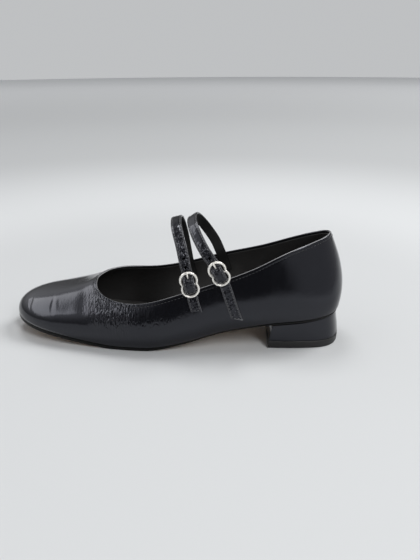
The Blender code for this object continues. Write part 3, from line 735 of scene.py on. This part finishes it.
def mottled(shades, dullness, pattern, relief=None, strength=0.6, spread=(0.3, 0.7)):
    """A drawing of two shades and two roughnesses that a pattern mixes, over a fine relief.

    The pattern and the relief are functions of the nodes. Without a relief of its own, a
    finish is lifted by its pattern.
    """
    def draw(nodes):
        mixed = pattern(nodes)
        lifted = relief(nodes) if relief else mixed
        return {"Base Color": nodes.blend(mixed, *shades),
                "Roughness": nodes.rise(mixed, *spread, *dullness),
                "Normal": nodes.bump(strength, 0.05, lifted)}

    return draw


lining_leather = finish("lining_leather", {"Specular IOR Level": 0.35}, mottled(
    ((0.022, 0.021, 0.021), (0.034, 0.033, 0.032)), (0.5, 0.65),
    lambda nodes: nodes.noise(0.08, 3.0), lambda nodes: nodes.grain(1.6)))
shown("lining", draped(on_stand(rings), rows_meet=True), [lining_leather])

# ---------------------------------------------------------------- collar stitching
# One row of short black stitches that holds the folded edge and the lining together, pulled
# a little into the leather all round the collar.

STITCH_PITCH = 2.5
STITCH_LENGTH = 1.75
STITCH_WIDTH = 0.42
STITCH_SINK = 0.10


def placed_mm(points):
    """The frame's metres for points in millimetres of its own axes, before the stand."""
    return np.asarray(points) * MM + STAND


def stitched(build, line, out, pitch, closed=False, raised=0.0):
    """Small rounded stitches a pitch apart along a line, each facing out and raised off it."""
    points = np.vstack([line, line[:1]]) if closed else line
    run = lengths(points)
    count = max(int(round(run[-1] / pitch)), 1)
    at = (np.arange(count) + 0.5) * run[-1] / count
    headings = read_off(at + 0.3, run, points) - read_off(at - 0.3, run, points)
    faces = out[(at / run[-1] * len(out)).astype(int)]
    places = placed_mm(read_off(at, run, points) + faces * raised)
    half = Matrix.Diagonal((STITCH_LENGTH / 2, STITCH_WIDTH / 2, STITCH_WIDTH / 2, 1 / MM)) * MM
    for place, heading, face in zip(places, headings, faces):
        face = Vector(face).normalized()
        forward = Vector(heading)
        forward = (forward - face * forward.dot(face)).normalized()
        turned = Matrix((forward, face.cross(forward), face)).transposed().to_4x4()
        bmesh.ops.create_uvsphere(build, u_segments=8, v_segments=6, radius=1.0,
                                  matrix=Matrix.Translation(Vector(place)) @ turned @ half)


def thread_draw(nodes):
    twist = nodes.noise(3.0)
    return {"Base Color": nodes.blend(twist, (0.012, 0.012, 0.013), (0.03, 0.03, 0.031)),
            "Normal": nodes.bump(0.5, 0.04, twist)}


thread = finish("black_thread", {"Roughness": 0.45, "Specular IOR Level": 0.5}, thread_draw)

stitch_face = at_heights(outer, (2.0, 3.0), 20, (STITCH_DOWN + 0.5, STITCH_DOWN))
stitch_out = facing(stitch_face)[:, -1]
stand_off = STITCH_WIDTH / 2 - STITCH_SINK - GROOVE_DEPTH
row_line = to_world(stitch_face[:, -1] + stitch_out * stand_off) / MM
row_out = to_world(stitch_out) / MM - to_world(np.zeros(3)) / MM
build = bmesh.new()
stitched(build, row_line, row_out, STITCH_PITCH, closed=True)
shown("collar_stitches", build, [thread])

# ---------------------------------------------------------------- insole
# A padded sock of black leather over the insole board, cut to the inside of the upper. Its
# edge is rolled down against the lining.

SOCK_TOP = 4.5
SOCK_CLEAR = 0.3
SOCK_ROLL = 1.6
SOCK_THICKNESS = 2.6
STATIONS = 200
ACROSS = 28
NEAR_FRONT = np.linspace(0.97, 1, 12)
SOCK_EDGE_UP, SOCK_HOLLOW = 0.5, 0.35


def tube(placed, ends=False, **how):
    """A grid whose rows go round a piece, its open ends each closed by one face if asked."""
    build = draped(placed, columns_meet=False, rows_meet=True, **how)
    if ends:
        bmesh.ops.edgeloop_fill(build, edges=[edge for edge in build.edges if edge.is_boundary])
    return build


def inside_at(level, inner):
    """Plan outline of the upper's inner face at a height above the feather edge."""
    above = inner[:, :, 2] - feather_z(inner[:, :, 0])
    return np.array([read_off(level, levels, face[:, :2]) for face, levels in zip(inner, above)])


def sides(outline, stations, front=None):
    """Stations from the back of a plan outline to its tip or a blunt front, and x on both sides."""
    back, tip = int(np.argmin(outline[:, 0])), int(np.argmax(outline[:, 0]))
    rolled = np.roll(outline, -back, axis=0)
    tip = (tip - back) % len(outline)
    outer_side = rolled[:tip + 1]
    inner_side = np.vstack([rolled[tip:], rolled[:1]])[::-1]
    last = rolled[tip, 0] if front is None else front
    s = rolled[0, 0] + (last - rolled[0, 0]) * stations
    return s, *(np.interp(s, side[:, 0], side[:, 1]) for side in (outer_side, inner_side))


def slab(layers, blunt=0.0):
    """A plate between plan outlines from the top down, as points[station, round the section].

    A layer is an outline, a height for each station, and its front where it is cut off
    square. Blunt is the radius of the corners there.
    """
    turn = pi / 2 if blunt else pi
    stations = (1 - np.cos(np.linspace(0, turn, STATIONS + 1))) / (1 - cos(turn))
    if blunt:
        stations = np.unique(np.concatenate([stations, NEAR_FRONT]))
    columns = []
    for outline, level, front in layers:
        s, x_out, x_in = sides(outline, stations, front)
        if blunt:
            into = np.clip((s - (front - blunt)) / blunt, 0, 1)
            corner = blunt * (1 - np.sqrt(1 - into ** 2))
            x_out, x_in = x_out - corner, x_in + corner
        columns.append((s, x_out, x_in, level(s)))

    def side(column, part):
        s, x_out, x_in, z = column
        return np.column_stack([s, x_out + (x_in - x_out) * part, z])

    parts = (1 - np.cos(np.linspace(0, pi, ACROSS + 1))) / 2
    rings = [side(columns[0], part) for part in parts]
    rings += [side(column, 1) for column in columns[1:-1]]
    rings += [side(columns[-1], part) for part in parts[::-1]]
    rings += [side(column, 0) for column in columns[-2:0:-1]]
    return np.stack(rings, axis=1)


def sock_layer(drop, extra):
    inner = FINE_SKIN - facing(FINE_SKIN) * WALL
    outline = inset(inside_at(SOCK_TOP - drop, inner), SOCK_CLEAR + extra)
    return outline, lambda s: feather_z(s) + SOCK_TOP - drop, None


layers = [sock_layer(SOCK_ROLL * (1 - cos(turned)), SOCK_ROLL * (1 - sin(turned)))
          for turned in np.linspace(0, pi / 2, 6)]
layers.append(sock_layer(SOCK_THICKNESS, 0.0))
sock_points = slab(layers)
middle = (sock_points[:, 0, 1] + sock_points[:, ACROSS, 1]) / 2
half = np.maximum(np.abs(sock_points[:, 0, 1] - sock_points[:, ACROSS, 1]) / 2, 1.0)
aside = np.clip(np.abs(sock_points[:, :ACROSS + 1, 1] - middle[:, None]) / half[:, None], 0, 1)
sock_points[:, :ACROSS + 1, 2] += SOCK_EDGE_UP * aside ** 3 - SOCK_HOLLOW * (1 - aside ** 2)

sock = finish("sock_leather", {"Specular IOR Level": 0.45}, mottled(
    ((0.05, 0.049, 0.048), (0.075, 0.073, 0.071)), (0.4, 0.55),
    lambda nodes: nodes.noise(0.06, 4.0), lambda nodes: nodes.grain(1.1, "DISTANCE_TO_EDGE"),
    strength=0.7))
shown("insole_sock", tube(on_stand(sock_points)), [sock], ["insole"])

# ---------------------------------------------------------------- outsole
# One thin sheet of tan leather from the toe to the back of the heel seat, its edge rounded
# and blackened, glued under the upper. It stands proud of the upper by a hair at the toe.

GAP = 0.3
EDGE_ROUND = 0.7
EDGE_PARTS = 7


def sole_top(s):
    return feather_z(s) - GAP


def sole_bottom(s):
    return sole_top(s) - along_shoe("sole_thickness", s)


def sole_edge(extra=0.0):
    return inset(FEATHER_EDGE, along_shoe("sole_inset", FEATHER_EDGE[:, 0]) + extra)


def sole_layer(part, extra):
    """A line round the sole's edge, part of the way from its top to its bottom."""
    return sole_edge(extra), lambda s: sole_top(s) * (1 - part) + sole_bottom(s) * part, None


sole_points = slab([sole_layer((1 - cos(turned)) / 2, EDGE_ROUND * (1 - sin(turned) ** 0.7))
                    for turned in np.linspace(0, pi, EDGE_PARTS)])


def sole_draw(nodes):
    """Tan leather below, with a grain along the shoe and cloudy patches of lighter and darker tan.
    """
    grain = nodes.noise(1.2, 4.0, (1.0, 0.25, 1.0))
    cloud = nodes.noise(0.05, 3.0)
    mixed = cloud * 0.6 + grain * 0.4
    return {"Base Color": nodes.blend(mixed, (0.30, 0.19, 0.11), (0.46, 0.32, 0.20)),
            "Roughness": nodes.rise(cloud, 0.3, 0.7, 0.45, 0.65),
            "Normal": nodes.bump(0.5, 0.06, grain)}


sole_tan = finish("tan_sole_leather", {"Specular IOR Level": 0.4}, sole_draw)
sole_black = finish("black_sole_edge", {"Specular IOR Level": 0.18}, mottled(
    ((0.003, 0.003, 0.003), (0.007, 0.007, 0.007)), (0.3, 0.5),
    lambda nodes: nodes.noise(1.5, 3.0, (1.0, 0.4, 2.0)), strength=0.5))
below = range(ACROSS + EDGE_PARTS - 1, 2 * ACROSS + EDGE_PARTS - 1)
shown("outsole_leather", tube(on_stand(sole_points), other_finish=below),
      [sole_black, sole_tan], ["outsole"])

# ---------------------------------------------------------------- heel
# A plastic block covered in smooth patent leather, wrapped round its sides and turned over
# the breast, and nailed under the heel seat from inside.

HEEL_FRONT_TOP = 55.5
HEEL_FRONT_BOTTOM = 58.5
TOP_LIFT_HEIGHT = 5.5
HEEL_CORNER = 0.35
HEEL_ROWS = 24

HeelLayer = namedtuple("HeelLayer", "part_way inset back_inset")
HEEL_LAYERS = (
    HeelLayer(0.0,  0.6,  1.4),
    HeelLayer(0.35, 0.5,  0.6),
    HeelLayer(0.7,  0.4, -0.6),
    HeelLayer(1.0,  0.3, -1.4),
)
HEEL_SIDES_BEGIN = 34.0


def heel_edge(part, extra):
    """Plan outline of the heel part of the way down from the seat. Its back flares out."""
    down = [row.part_way for row in HEEL_LAYERS]
    side_in = np.interp(part, down, [row.inset for row in HEEL_LAYERS])
    back_in = np.interp(part, down, [row.back_inset for row in HEEL_LAYERS])
    back = np.clip(1 - FEATHER_EDGE[:, 0] / HEEL_SIDES_BEGIN, 0, 1)
    return sole_edge(side_in + (back_in - side_in) * back + extra)


def heel_layer(part, extra=0.0):
    ground = TOP_LIFT_HEIGHT + GAP
    front = HEEL_FRONT_TOP * (1 - part) + HEEL_FRONT_BOTTOM * part
    return (heel_edge(part, extra),
            lambda s: (sole_bottom(s) - GAP) * (1 - part) + ground * part, front - extra)


layers = [heel_layer(0.0, 0.5), heel_layer(0.012, 0.15)]
layers += [heel_layer(part) for part in np.linspace(0, 1, HEEL_ROWS + 1)[1:-1]]
layers += [heel_layer(0.985, 0.12), heel_layer(1.0, 0.45)]
heel_points = slab(layers, blunt=HEEL_CORNER)


def smooth_patent_draw(nodes):
    soft = nodes.noise(0.12)
    return {"Roughness": nodes.rise(soft, 0.3, 0.8, 0.1, 0.18),
            "Normal": nodes.bump(1.0, 0.03, soft + nodes.noise(1.6) * 0.1)}


smooth_patent = finish("smooth_patent_leather", PATENT, smooth_patent_draw)
shown("heel_cover", tube(on_stand(heel_points), ends=True), [smooth_patent],
      ["heel"], sharp=40)

# ---------------------------------------------------------------- top lift
# A plate of black rubber nailed under the heel, cut flush with the cover and a little
# rounded where it meets the ground.

LIFT_ROUND = 0.6


def lift_layer(level, extra):
    return heel_edge(1.0, extra), lambda s: 0 * s + level, HEEL_FRONT_BOTTOM - extra


layers = [lift_layer(TOP_LIFT_HEIGHT, 0.25), lift_layer(TOP_LIFT_HEIGHT - 0.25, 0.0),
          lift_layer(TOP_LIFT_HEIGHT / 2, 0.0)]
for turned in np.linspace(0, pi / 2, 5):
    layers.append(lift_layer(LIFT_ROUND * (1 - sin(turned)), LIFT_ROUND * (1 - cos(turned))))
lift_points = slab(layers, blunt=HEEL_CORNER)

rubber = finish("top_lift_rubber", {"Specular IOR Level": 0.5}, mottled(
    ((0.004, 0.004, 0.004), (0.008, 0.008, 0.008)), (0.38, 0.52),
    lambda nodes: nodes.noise(2.5, 3.0)))
shown("top_lift_rubber", tube(on_stand(lift_points), ends=True), [rubber],
      ["top_lift"], sharp=40)

# ---------------------------------------------------------------- straps
# Two narrow bands of the same leather with both edges folded under, stitched along each side
# and lined. Each is sewn inside the inner wall and weaves over its buckle's bar.

STRAP_WIDTH = 7.8
STRAP_THICKNESS = 1.4
STRAP_DOME = 0.12
END_SLANT_REACH = 9.0
PLAY_INSIDE = 0.6
PLAY_OUTSIDE = 0.2
WALL_TURN = 4.0
WIRE_RADIUS = 0.75
PRONG_RADIUS = 0.55
PRONG_LEVEL = WIRE_RADIUS + GAP + PRONG_RADIUS
WEAVE_DOWN = WIRE_RADIUS + GAP + STRAP_THICKNESS / 2
WEAVE_UP = PRONG_LEVEL + PRONG_RADIUS + GAP + 0.2 + STRAP_THICKNESS / 2
WEAVE_REACH = 8.3
STRAP_STEP = 0.32
STRAP_SMOOTHED = 15
STRAP_STITCH_IN = 1.25
STRAP_STITCH_PITCH = 2.2
STRAP_STITCH_RAISED = 0.10
STRAP_GROOVE_WIDTH, STRAP_GROOVE_DEPTH = 0.30, 0.18
STRAP_CELL_SIZE, STRAP_CELL_DEPTH = 2.3, 0.46
STRAP_DRIFT_SIZE, STRAP_DRIFT_DEPTH = 2.6, 0.44
PLAIN_STRAP_CRINKLE, PLAIN_STRAP_DRIFT = 0.10, 0.04
HOLE_RADIUS = 1.0
HOLE_RIM = 0.22
HOLE_SMOOTH_REACH = 1.5
HOLE_DEPTH = 0.93
# The hole that the prong goes through: its middle along the strap, half its length, its radius
PRONG_HOLE_AT, PRONG_HOLE_HALF, PRONG_HOLE_RADIUS = -5.6, 0.9, 0.8
# Strength of the painted highlight along a strap's top edges
EDGE_HIGHLIGHT = 0.12

# A strap's route is in stations, x and heights. Where x is a word, the strap lies on a wall.
# The bar is the route point under the buckle's bar. A crinkled stretch is given by its
# middle, its reach and its strength, as offsets along the strap from the bar.
INSIDE, OUTSIDE = "inside", "outside"
# A strap's end_worn is the strength of the painted highlight on its slanted cut end
Strap = namedtuple("Strap", "name route bar lean end_slant end_worn holes crinkled tab")
STRAPS = (
    Strap("front", (
        (116.0, INSIDE, 32.0), (117.2, INSIDE, 38.5), (118.5, -29.2, 46.5), (120.2, -30.0, 57.0),
        (122.4, -28.4, 71.0), (124.3, -20.5, 82.5), (125.3, -4.0, 89.0), (123.9, 14.0, 86.5),
        (119.9, 27.0, 76.5), (117.3, 32.4, 66.0), (116.2, 33.4, 61.1), (114.5, 33.6, 52.2),
        (112.8, 33.6, 43.3), (111.2, OUTSIDE, 37.0), (109.5, OUTSIDE, 32.0),
    ), bar=11, lean=13.0, end_slant=18.0, end_worn=0.0, holes=(-18.5, -12.5),
        crinkled=((-22.0, 14.0, 1.0), (0.0, 7.0, 0.8), (18.0, 8.0, 0.9)),
        tab=((-22.0, -3.4), (-16.0, -5.0), (-11.0, -6.5), (-8.6, -7.2))),
    Strap("rear", (
        (88.0, INSIDE, 38.0), (90.2, INSIDE, 45.5), (93.4, -26.6, 55.0), (97.6, -28.6, 64.0),
        (103.4, -28.5, 73.0), (109.9, -19.0, 84.2), (113.4, -3.0, 90.6), (112.5, 13.0, 88.2),
        (107.4, 26.0, 80.4), (102.0, 32.9, 73.0), (98.6, 33.6, 68.3), (94.2, 32.9, 60.3),
        (90.4, 32.0, 52.1), (86.6, OUTSIDE, 41.0), (83.8, OUTSIDE, 33.0), (81.2, OUTSIDE, 25.5),
    ), bar=11, lean=30.0, end_slant=31.0, end_worn=0.5, holes=(-12.6,),
        crinkled=((-15.0, 9.0, 1.0), (0.0, 7.0, 0.9), (16.0, 7.0, 0.9), (29.0, 9.0, 1.1)),
        tab=((-24.0, -3.1), (-18.0, -5.0), (-13.0, -6.8), (-10.2, -7.7))),
)
Path = namedtuple("Path", "centre offset along width facing")


def smooth_curve(points):
    """A dense curve through the given points, with the distance run at each of its own points."""
    knots = lengths(points)
    step = np.diff(knots)[:, None]
    leg = np.diff(points, axis=0) / step
    slope = np.zeros_like(points)
    slope[1:-1] = (leg[:-1] * step[1:] + leg[1:] * step[:-1]) / (step[1:] + step[:-1])
    slope[0], slope[-1] = leg[0], leg[-1]
    fine = np.linspace(0, knots[-1], 800)
    i = np.clip(np.searchsorted(knots, fine, side="right") - 1, 0, len(leg) - 1)
    t = ((fine - knots[i]) / step[i, 0])[:, None]
    curve = hermite(t, step[i], points[i], points[i + 1], slope[i], slope[i + 1])
    return curve, lengths(curve)


def wall_x(s, z, outer_side):
    """x of the upper's outer face at a station and height, on either side of the foot."""
    part = FINE_SKIN[:TIP] if outer_side else FINE_SKIN[TIP:][::-1]
    rows = np.moveaxis(part, 1, 0)
    xs, zs = np.array([read_off(s, row[:, 0], row[:, 1:]) for row in rows]).T
    return float(np.interp(z, zs, xs))


def strap_path(strap):
    """Centre line of a strap in millimetres, before it weaves, and the directions it faces."""
    lift = GAP + STRAP_THICKNESS / 2
    rows = []
    for s, x, z in strap.route:
        if x == INSIDE:
            x = wall_x(s, z, outer_side=False) + WALL + lift + PLAY_INSIDE
        elif x == OUTSIDE:
            x = wall_x(s, z, outer_side=True) + lift + PLAY_OUTSIDE
        rows.append((s, x, z))
    rows = to_world(np.array(rows)) / MM
    curve, run = smooth_curve(rows)
    bar = run[np.argmin(np.linalg.norm(curve - rows[strap.bar], axis=1))]
    before = np.linspace(-bar, 0, int(bar / STRAP_STEP))
    after = np.linspace(0, run[-1] - bar, int((run[-1] - bar) / STRAP_STEP))[1:]
    offset = np.concatenate([before, after])
    centre = read_off(offset + bar, run, curve)
    smooth = np.hanning(STRAP_SMOOTHED) / np.hanning(STRAP_SMOOTHED).sum()
    reach = STRAP_SMOOTHED // 2
    padded = np.pad(centre, ((reach, reach), (0, 0)), mode="reflect", reflect_type="odd")
    centre = np.stack([np.convolve(padded[:, k], smooth, mode="valid") for k in range(3)], axis=1)
    along = unit(np.gradient(centre, offset, axis=0))
    lean = radians(strap.lean)
    across = np.array([-sin(radians(WALL_TURN)), cos(lean), sin(lean)])
    width = unit(across - (along @ across)[:, None] * along)
    return Path(centre, offset, along, width, np.cross(along, width))


def band_section(half_width, half_thick, on_top, below):
    """Points (w, n) round a band with rounded edges, the outer face first."""
    flat = half_width - half_thick
    turn = np.linspace(pi / 2, -pi / 2, 7)[1:-1]
    top = [(w, half_thick) for w in np.linspace(-flat, flat, on_top)]
    right = [(flat + half_thick * cos(a), half_thick * sin(a)) for a in turn]
    bottom = [(w, -half_thick) for w in np.linspace(flat, -flat, below)]
    left = [(-w, n) for w, n in right[::-1]]
    return np.array(top + right + bottom + left)


ON_TOP, BELOW = 33, 9
SECTION = band_section(STRAP_WIDTH / 2, STRAP_THICKNESS / 2, ON_TOP, BELOW)


def strap_surface(strap, path):
    """Points of a strap in millimetres as [along, round], its marks, and its path as it weaves."""
    weave = np.clip(1 - (path.offset / WEAVE_REACH) ** 2, 0, 1)
    centre = path.centre + path.facing * ((WEAVE_DOWN + WEAVE_UP) * weave)[:, None]
    along = unit(np.gradient(centre, path.offset, axis=0))
    facing_out = np.cross(along, path.width)
    to_end = path.offset[-1] - path.offset
    slant = np.clip(1 - to_end / END_SLANT_REACH, 0, 1) ** 2 * tan(radians(strap.end_slant))

    radius = STRAP_THICKNESS / 2
    from_start = path.offset - path.offset[0]
    thin = np.sqrt(1 - (1 - np.clip(np.minimum(to_end, from_start) / radius, 0, 1)) ** 2)
    w, n = SECTION[:, 0][None, :], SECTION[:, 1][None, :]
    half = STRAP_WIDTH / 2
    w = w * (half - radius * (1 - thin[:, None])) / half
    n = n * np.maximum(thin[:, None], 0.15)

    on_top = (SECTION[:, 1] > radius * 0.99)[None, :]
    upper = np.clip(SECTION[:, 1] / radius, 0, 1)[None, :]
    offset = np.broadcast_to(path.offset[:, None], w.shape)
    crinkle = np.full_like(offset, PLAIN_STRAP_CRINKLE)
    for middle, reach, strength in strap.crinkled:
        crinkle += strength * bell(offset - middle, reach)
    crinkle = np.clip(crinkle, 0, 1)
    slot = np.hypot(np.clip(np.abs(offset - PRONG_HOLE_AT) - PRONG_HOLE_HALF, 0, None), w)
    sink = np.clip((PRONG_HOLE_RADIUS + HOLE_RIM - slot) / HOLE_RIM, 0, 1)
    for hole in strap.holes:
        away = np.hypot(offset - hole, w)
        crinkle *= np.clip((away - HOLE_RADIUS) / HOLE_SMOOTH_REACH, 0.0, 1.0)
        sink = np.maximum(sink, np.clip((HOLE_RADIUS + HOLE_RIM - away) / HOLE_RIM, 0, 1))
    places = np.stack([offset + 50 * len(strap.name), w * 0.8, np.zeros_like(w)], axis=-1)
    cushion = cells(places, STRAP_CELL_SIZE)
    drift = waves(places + 30, STRAP_DRIFT_SIZE)
    relief = STRAP_DOME * (1 - (w / half) ** 2) * on_top
    crinkled = STRAP_CELL_DEPTH * (cushion - 0.5) + STRAP_DRIFT_DEPTH * drift
    relief = relief + upper * (crinkle * crinkled + PLAIN_STRAP_DRIFT * drift)
    groove = bell(np.abs(w) - (half - STRAP_STITCH_IN), STRAP_GROOVE_WIDTH)
    relief -= STRAP_GROOVE_DEPTH * groove * on_top
    n = (n + relief * thin[:, None]) * (1 - sink * HOLE_DEPTH)

    points = (centre[:, None] + path.width[:, None] * w[..., None]
              + facing_out[:, None] * n[..., None]
              + along[:, None] * (w * slant[:, None])[..., None])
    # Painted highlights: a light grey line along the top edges, and on the slanted cut end
    corner = bell(np.abs(SECTION[:, 0]) - half + 0.45, 0.35) * (SECTION[:, 1] > 0)
    cut = strap.end_worn * bell(to_end - 0.3, 0.4)[:, None] * (0.6 + 0.4 * w / half)
    marks = {"crinkle": crinkle, "worn": np.maximum(EDGE_HIGHLIGHT * corner[None, :], cut)}
    return points, marks, Path(centre, path.offset, along, path.width, facing_out)


def strap_lining_draw(nodes):
    grain = nodes.grain(1.8)
    return {"Roughness": nodes.rise(grain, 0.0, 1.0, 0.5, 0.62),
            "Normal": nodes.bump(0.6, 0.05, grain)}


strap_patent = finish("strap_patent_leather", PATENT, patent_draw(0.8, 1.3, 0.10, 0.05))
strap_lining = finish("strap_lining_leather",
                      {"Specular IOR Level": 0.3, "Base Color": (0.011, 0.011, 0.011, 1)},
                      strap_lining_draw)
# Painted shade: a black, dull patch on the faces round each hole stands for the shade inside it
hole_painted_shade = finish("punched_hole", {"Base Color": (0.001, 0.001, 0.001, 1), "Roughness": 1.0,
                                     "Specular IOR Level": 0.0})
# Strap thread painted light grey, a painted glint on each stitch
strap_thread = finish("strap_thread", {"Roughness": 0.4, "Base Color": (0.11, 0.11, 0.115, 1)})

inner_strips = range(ON_TOP + 4, ON_TOP + 5 + BELOW)
strap_paths = {strap.name: strap_path(strap) for strap in STRAPS}
bands = {}
for strap in STRAPS:
    points, marks, band = strap_surface(strap, strap_paths[strap.name])
    bands[strap.name] = points, band
    build = tube(placed_mm(points), ends=True, marks=marks, other_finish=inner_strips)
    # Faces round each hole take the painted hole shade
    holes = placed_mm(points[np.searchsorted(band.offset, strap.holes), ON_TOP // 2])
    for face in build.faces:
        away = np.linalg.norm(holes - np.array(face.calc_center_median()), axis=1)
        if away.min() < HOLE_RADIUS * MM:
            face.material_index = 2
    shown("strap_" + strap.name + "_leather", build, [strap_patent, strap_lining, hole_painted_shade],
          ["strap_" + strap.name])

# Stitches in two rows along each strap, and across its slanted end
for strap in STRAPS:
    points, band = bands[strap.name]
    build = bmesh.new()
    reach = STRAP_WIDTH / 2 - STRAP_STITCH_IN
    first = np.searchsorted(band.offset, band.offset[0] + 3.0)
    last = np.searchsorted(band.offset, band.offset[-1] - 1.6)
    rows = []
    for side in (-reach, reach):
        nearest = int(np.argmin(np.abs(SECTION[:ON_TOP, 0] - side)))
        rows.append((points[first:last, nearest], band.facing[first:last]))
    rows.append((points[last, 5:ON_TOP - 5], band.facing[last:last + 1]))
    for line, out in rows:
        stitched(build, line, out, STRAP_STITCH_PITCH, raised=STRAP_STITCH_RAISED)
    shown("strap_" + strap.name + "_stitches", build, [strap_thread])

# ---------------------------------------------------------------- tabs
# A short folded band of leather that carries each buckle's bar. It is sewn inside the
# collar, and slotted round the bar to leave the prong free.

TAB_WIDTH = 7.0
TAB_THICKNESS = 1.0
TAB_SLOT = 1.9
TAB_TURN = np.radians(np.linspace(-62, 183, 33))
TAB_CRINKLE = 0.4


def at_buckle(strap, points):
    """Places of points across the strap, up it and out from the foot, off the bar's middle."""
    path = strap_paths[strap.name]
    at = int(np.argmin(np.abs(path.offset)))
    rows = np.stack([path.width[at], -path.along[at], path.facing[at]])
    middle = path.centre[at] + path.facing[at] * WEAVE_DOWN
    return placed_mm(np.asarray(points) @ rows + middle)


def fold_band(line, low, high):
    """A part of a tab along a line of (up, out), between two places across it."""
    along = unit(np.gradient(line, axis=0))
    normal = np.stack([-along[:, 1], along[:, 0]], axis=1)
    section = band_section((high - low) / 2, TAB_THICKNESS / 2, 7, 7)
    points = []
    for point, side in zip(line, normal):
        up_out = point + side * section[:, 1:2]
        points.append(np.column_stack([section[:, 0] + (low + high) / 2, up_out]))
    return np.array(points)


def joined(builds):
    """Several bmeshes as one."""
    whole = bmesh.new()
    for build in builds:
        mesh = meshed("part", build)
        whole.from_mesh(mesh)
        bpy.data.meshes.remove(mesh)
    return whole


radius = WIRE_RADIUS + GAP + TAB_THICKNESS / 2
fold = np.column_stack([radius * np.cos(TAB_TURN), radius * np.sin(TAB_TURN)])
half, slot = TAB_WIDTH / 2, TAB_SLOT / 2
for strap in STRAPS:
    stem = smooth_curve(np.vstack([strap.tab, fold[:1]]))[0][::25]
    parts = [fold_band(np.vstack([stem, fold[1:7]]), -half, half),
             fold_band(fold[5:], -half, -slot), fold_band(fold[5:], slot, half)]
    builds = [tube(at_buckle(strap, part), ends=True,
                   marks={"crinkle": np.full(part.shape[:2], TAB_CRINKLE)}) for part in parts]
    shown("tab_" + strap.name + "_leather", joined(builds), [patent],
          ["tab_" + strap.name])

# ---------------------------------------------------------------- buckles and prongs
# A figure of eight bent from pale gold wire, with a bar brazed across its waist, and a
# thinner prong that turns round the bar and rests on the upper ring.

RING_RADIUS = 5.65
RING_WIRE = 0.88
RING_OFFSET = 3.3
RING_END = RING_OFFSET + RING_RADIUS
WIRE_SIDES = 16
PRONG_DIP = 0.7
BAR_WIRE = WIRE_RADIUS * 0.95
# The prong's tip: how far past the ring, how much lower, and what share of its thickness
PRONG_TIP = ((0.5, 0.03, 0.9), (0.85, 0.08, 0.65), (1.0, 0.1, 0.25))


def wire(line, radii, closed, square_to=(0, 0, 1)):
    """A round wire along a line, as points[along, round]."""
    line = np.asarray(line, dtype=float)
    if closed:
        along = unit(np.roll(line, -1, axis=0) - np.roll(line, 1, axis=0))
    else:
        along = unit(np.gradient(line, axis=0))
    side = unit(np.cross(along, np.array(square_to, dtype=float)))
    other = np.cross(side, along)
    turn = np.arange(WIRE_SIDES) * 2 * pi / WIRE_SIDES
    out = np.cos(turn)[None, :, None] * side[:, None] + np.sin(turn)[None, :, None] * other[:, None]
    return line[:, None] + out * np.reshape(radii, (-1, 1, 1))


# Plated wire with faint scratches and a few duller spots
pale_gold = finish("pale_gold", {"Metallic": 0.45}, mottled(
    ((0.95, 0.92, 0.85), (1.0, 0.98, 0.94)), (0.16, 0.32), lambda nodes: nodes.noise(0.9, 3.0),
    lambda nodes: nodes.noise(0.9, 3.0) + nodes.noise(4.0, stretch=(1.0, 1.0, 0.3)) * 0.3,
    spread=(0.3, 0.75)))

dip = np.arcsin(RING_OFFSET / RING_RADIUS)
arc = np.linspace(-dip, pi + dip, 61)
upper_ring = np.column_stack([RING_RADIUS * np.cos(arc),
                              RING_OFFSET + RING_RADIUS * np.sin(arc), 0 * arc])
eight = np.vstack([upper_ring[:-1], -upper_ring[:-1]])
eight = (np.roll(eight, 1, axis=0) + 2 * eight + np.roll(eight, -1, axis=0)) / 4
reach = RING_RADIUS * cos(dip)
bar = np.column_stack([np.linspace(-reach, reach, 12), np.zeros(12), np.zeros(12)])

turn = np.radians(np.linspace(340, 90, 33))
prong = [(0, PRONG_LEVEL * cos(a), PRONG_LEVEL * sin(a)) for a in turn]
prong += [(0, y, PRONG_LEVEL - PRONG_DIP * sin(pi * y / RING_END) ** 2)
          for y in np.linspace(0, RING_END, 16)[1:]]
taper = [PRONG_RADIUS] * len(prong) + [PRONG_RADIUS * share for past, lower, share in PRONG_TIP]
prong += [(0, RING_END + past, PRONG_LEVEL - lower) for past, lower, share in PRONG_TIP]

for strap in STRAPS:
    frame_wire = draped(at_buckle(strap, wire(eight, RING_WIRE, closed=True)), rows_meet=True)
    bar_wire = tube(at_buckle(strap, wire(bar, BAR_WIRE, closed=False)), ends=True)
    shown("buckle_" + strap.name + "_wire", joined([frame_wire, bar_wire]), [pale_gold],
          ["buckle_" + strap.name])
    prong_wire = wire(prong, taper, closed=False, square_to=(1, 0, 0))
    shown("prong_" + strap.name + "_wire", tube(at_buckle(strap, prong_wire), ends=True),
          [pale_gold], ["prong_" + strap.name])
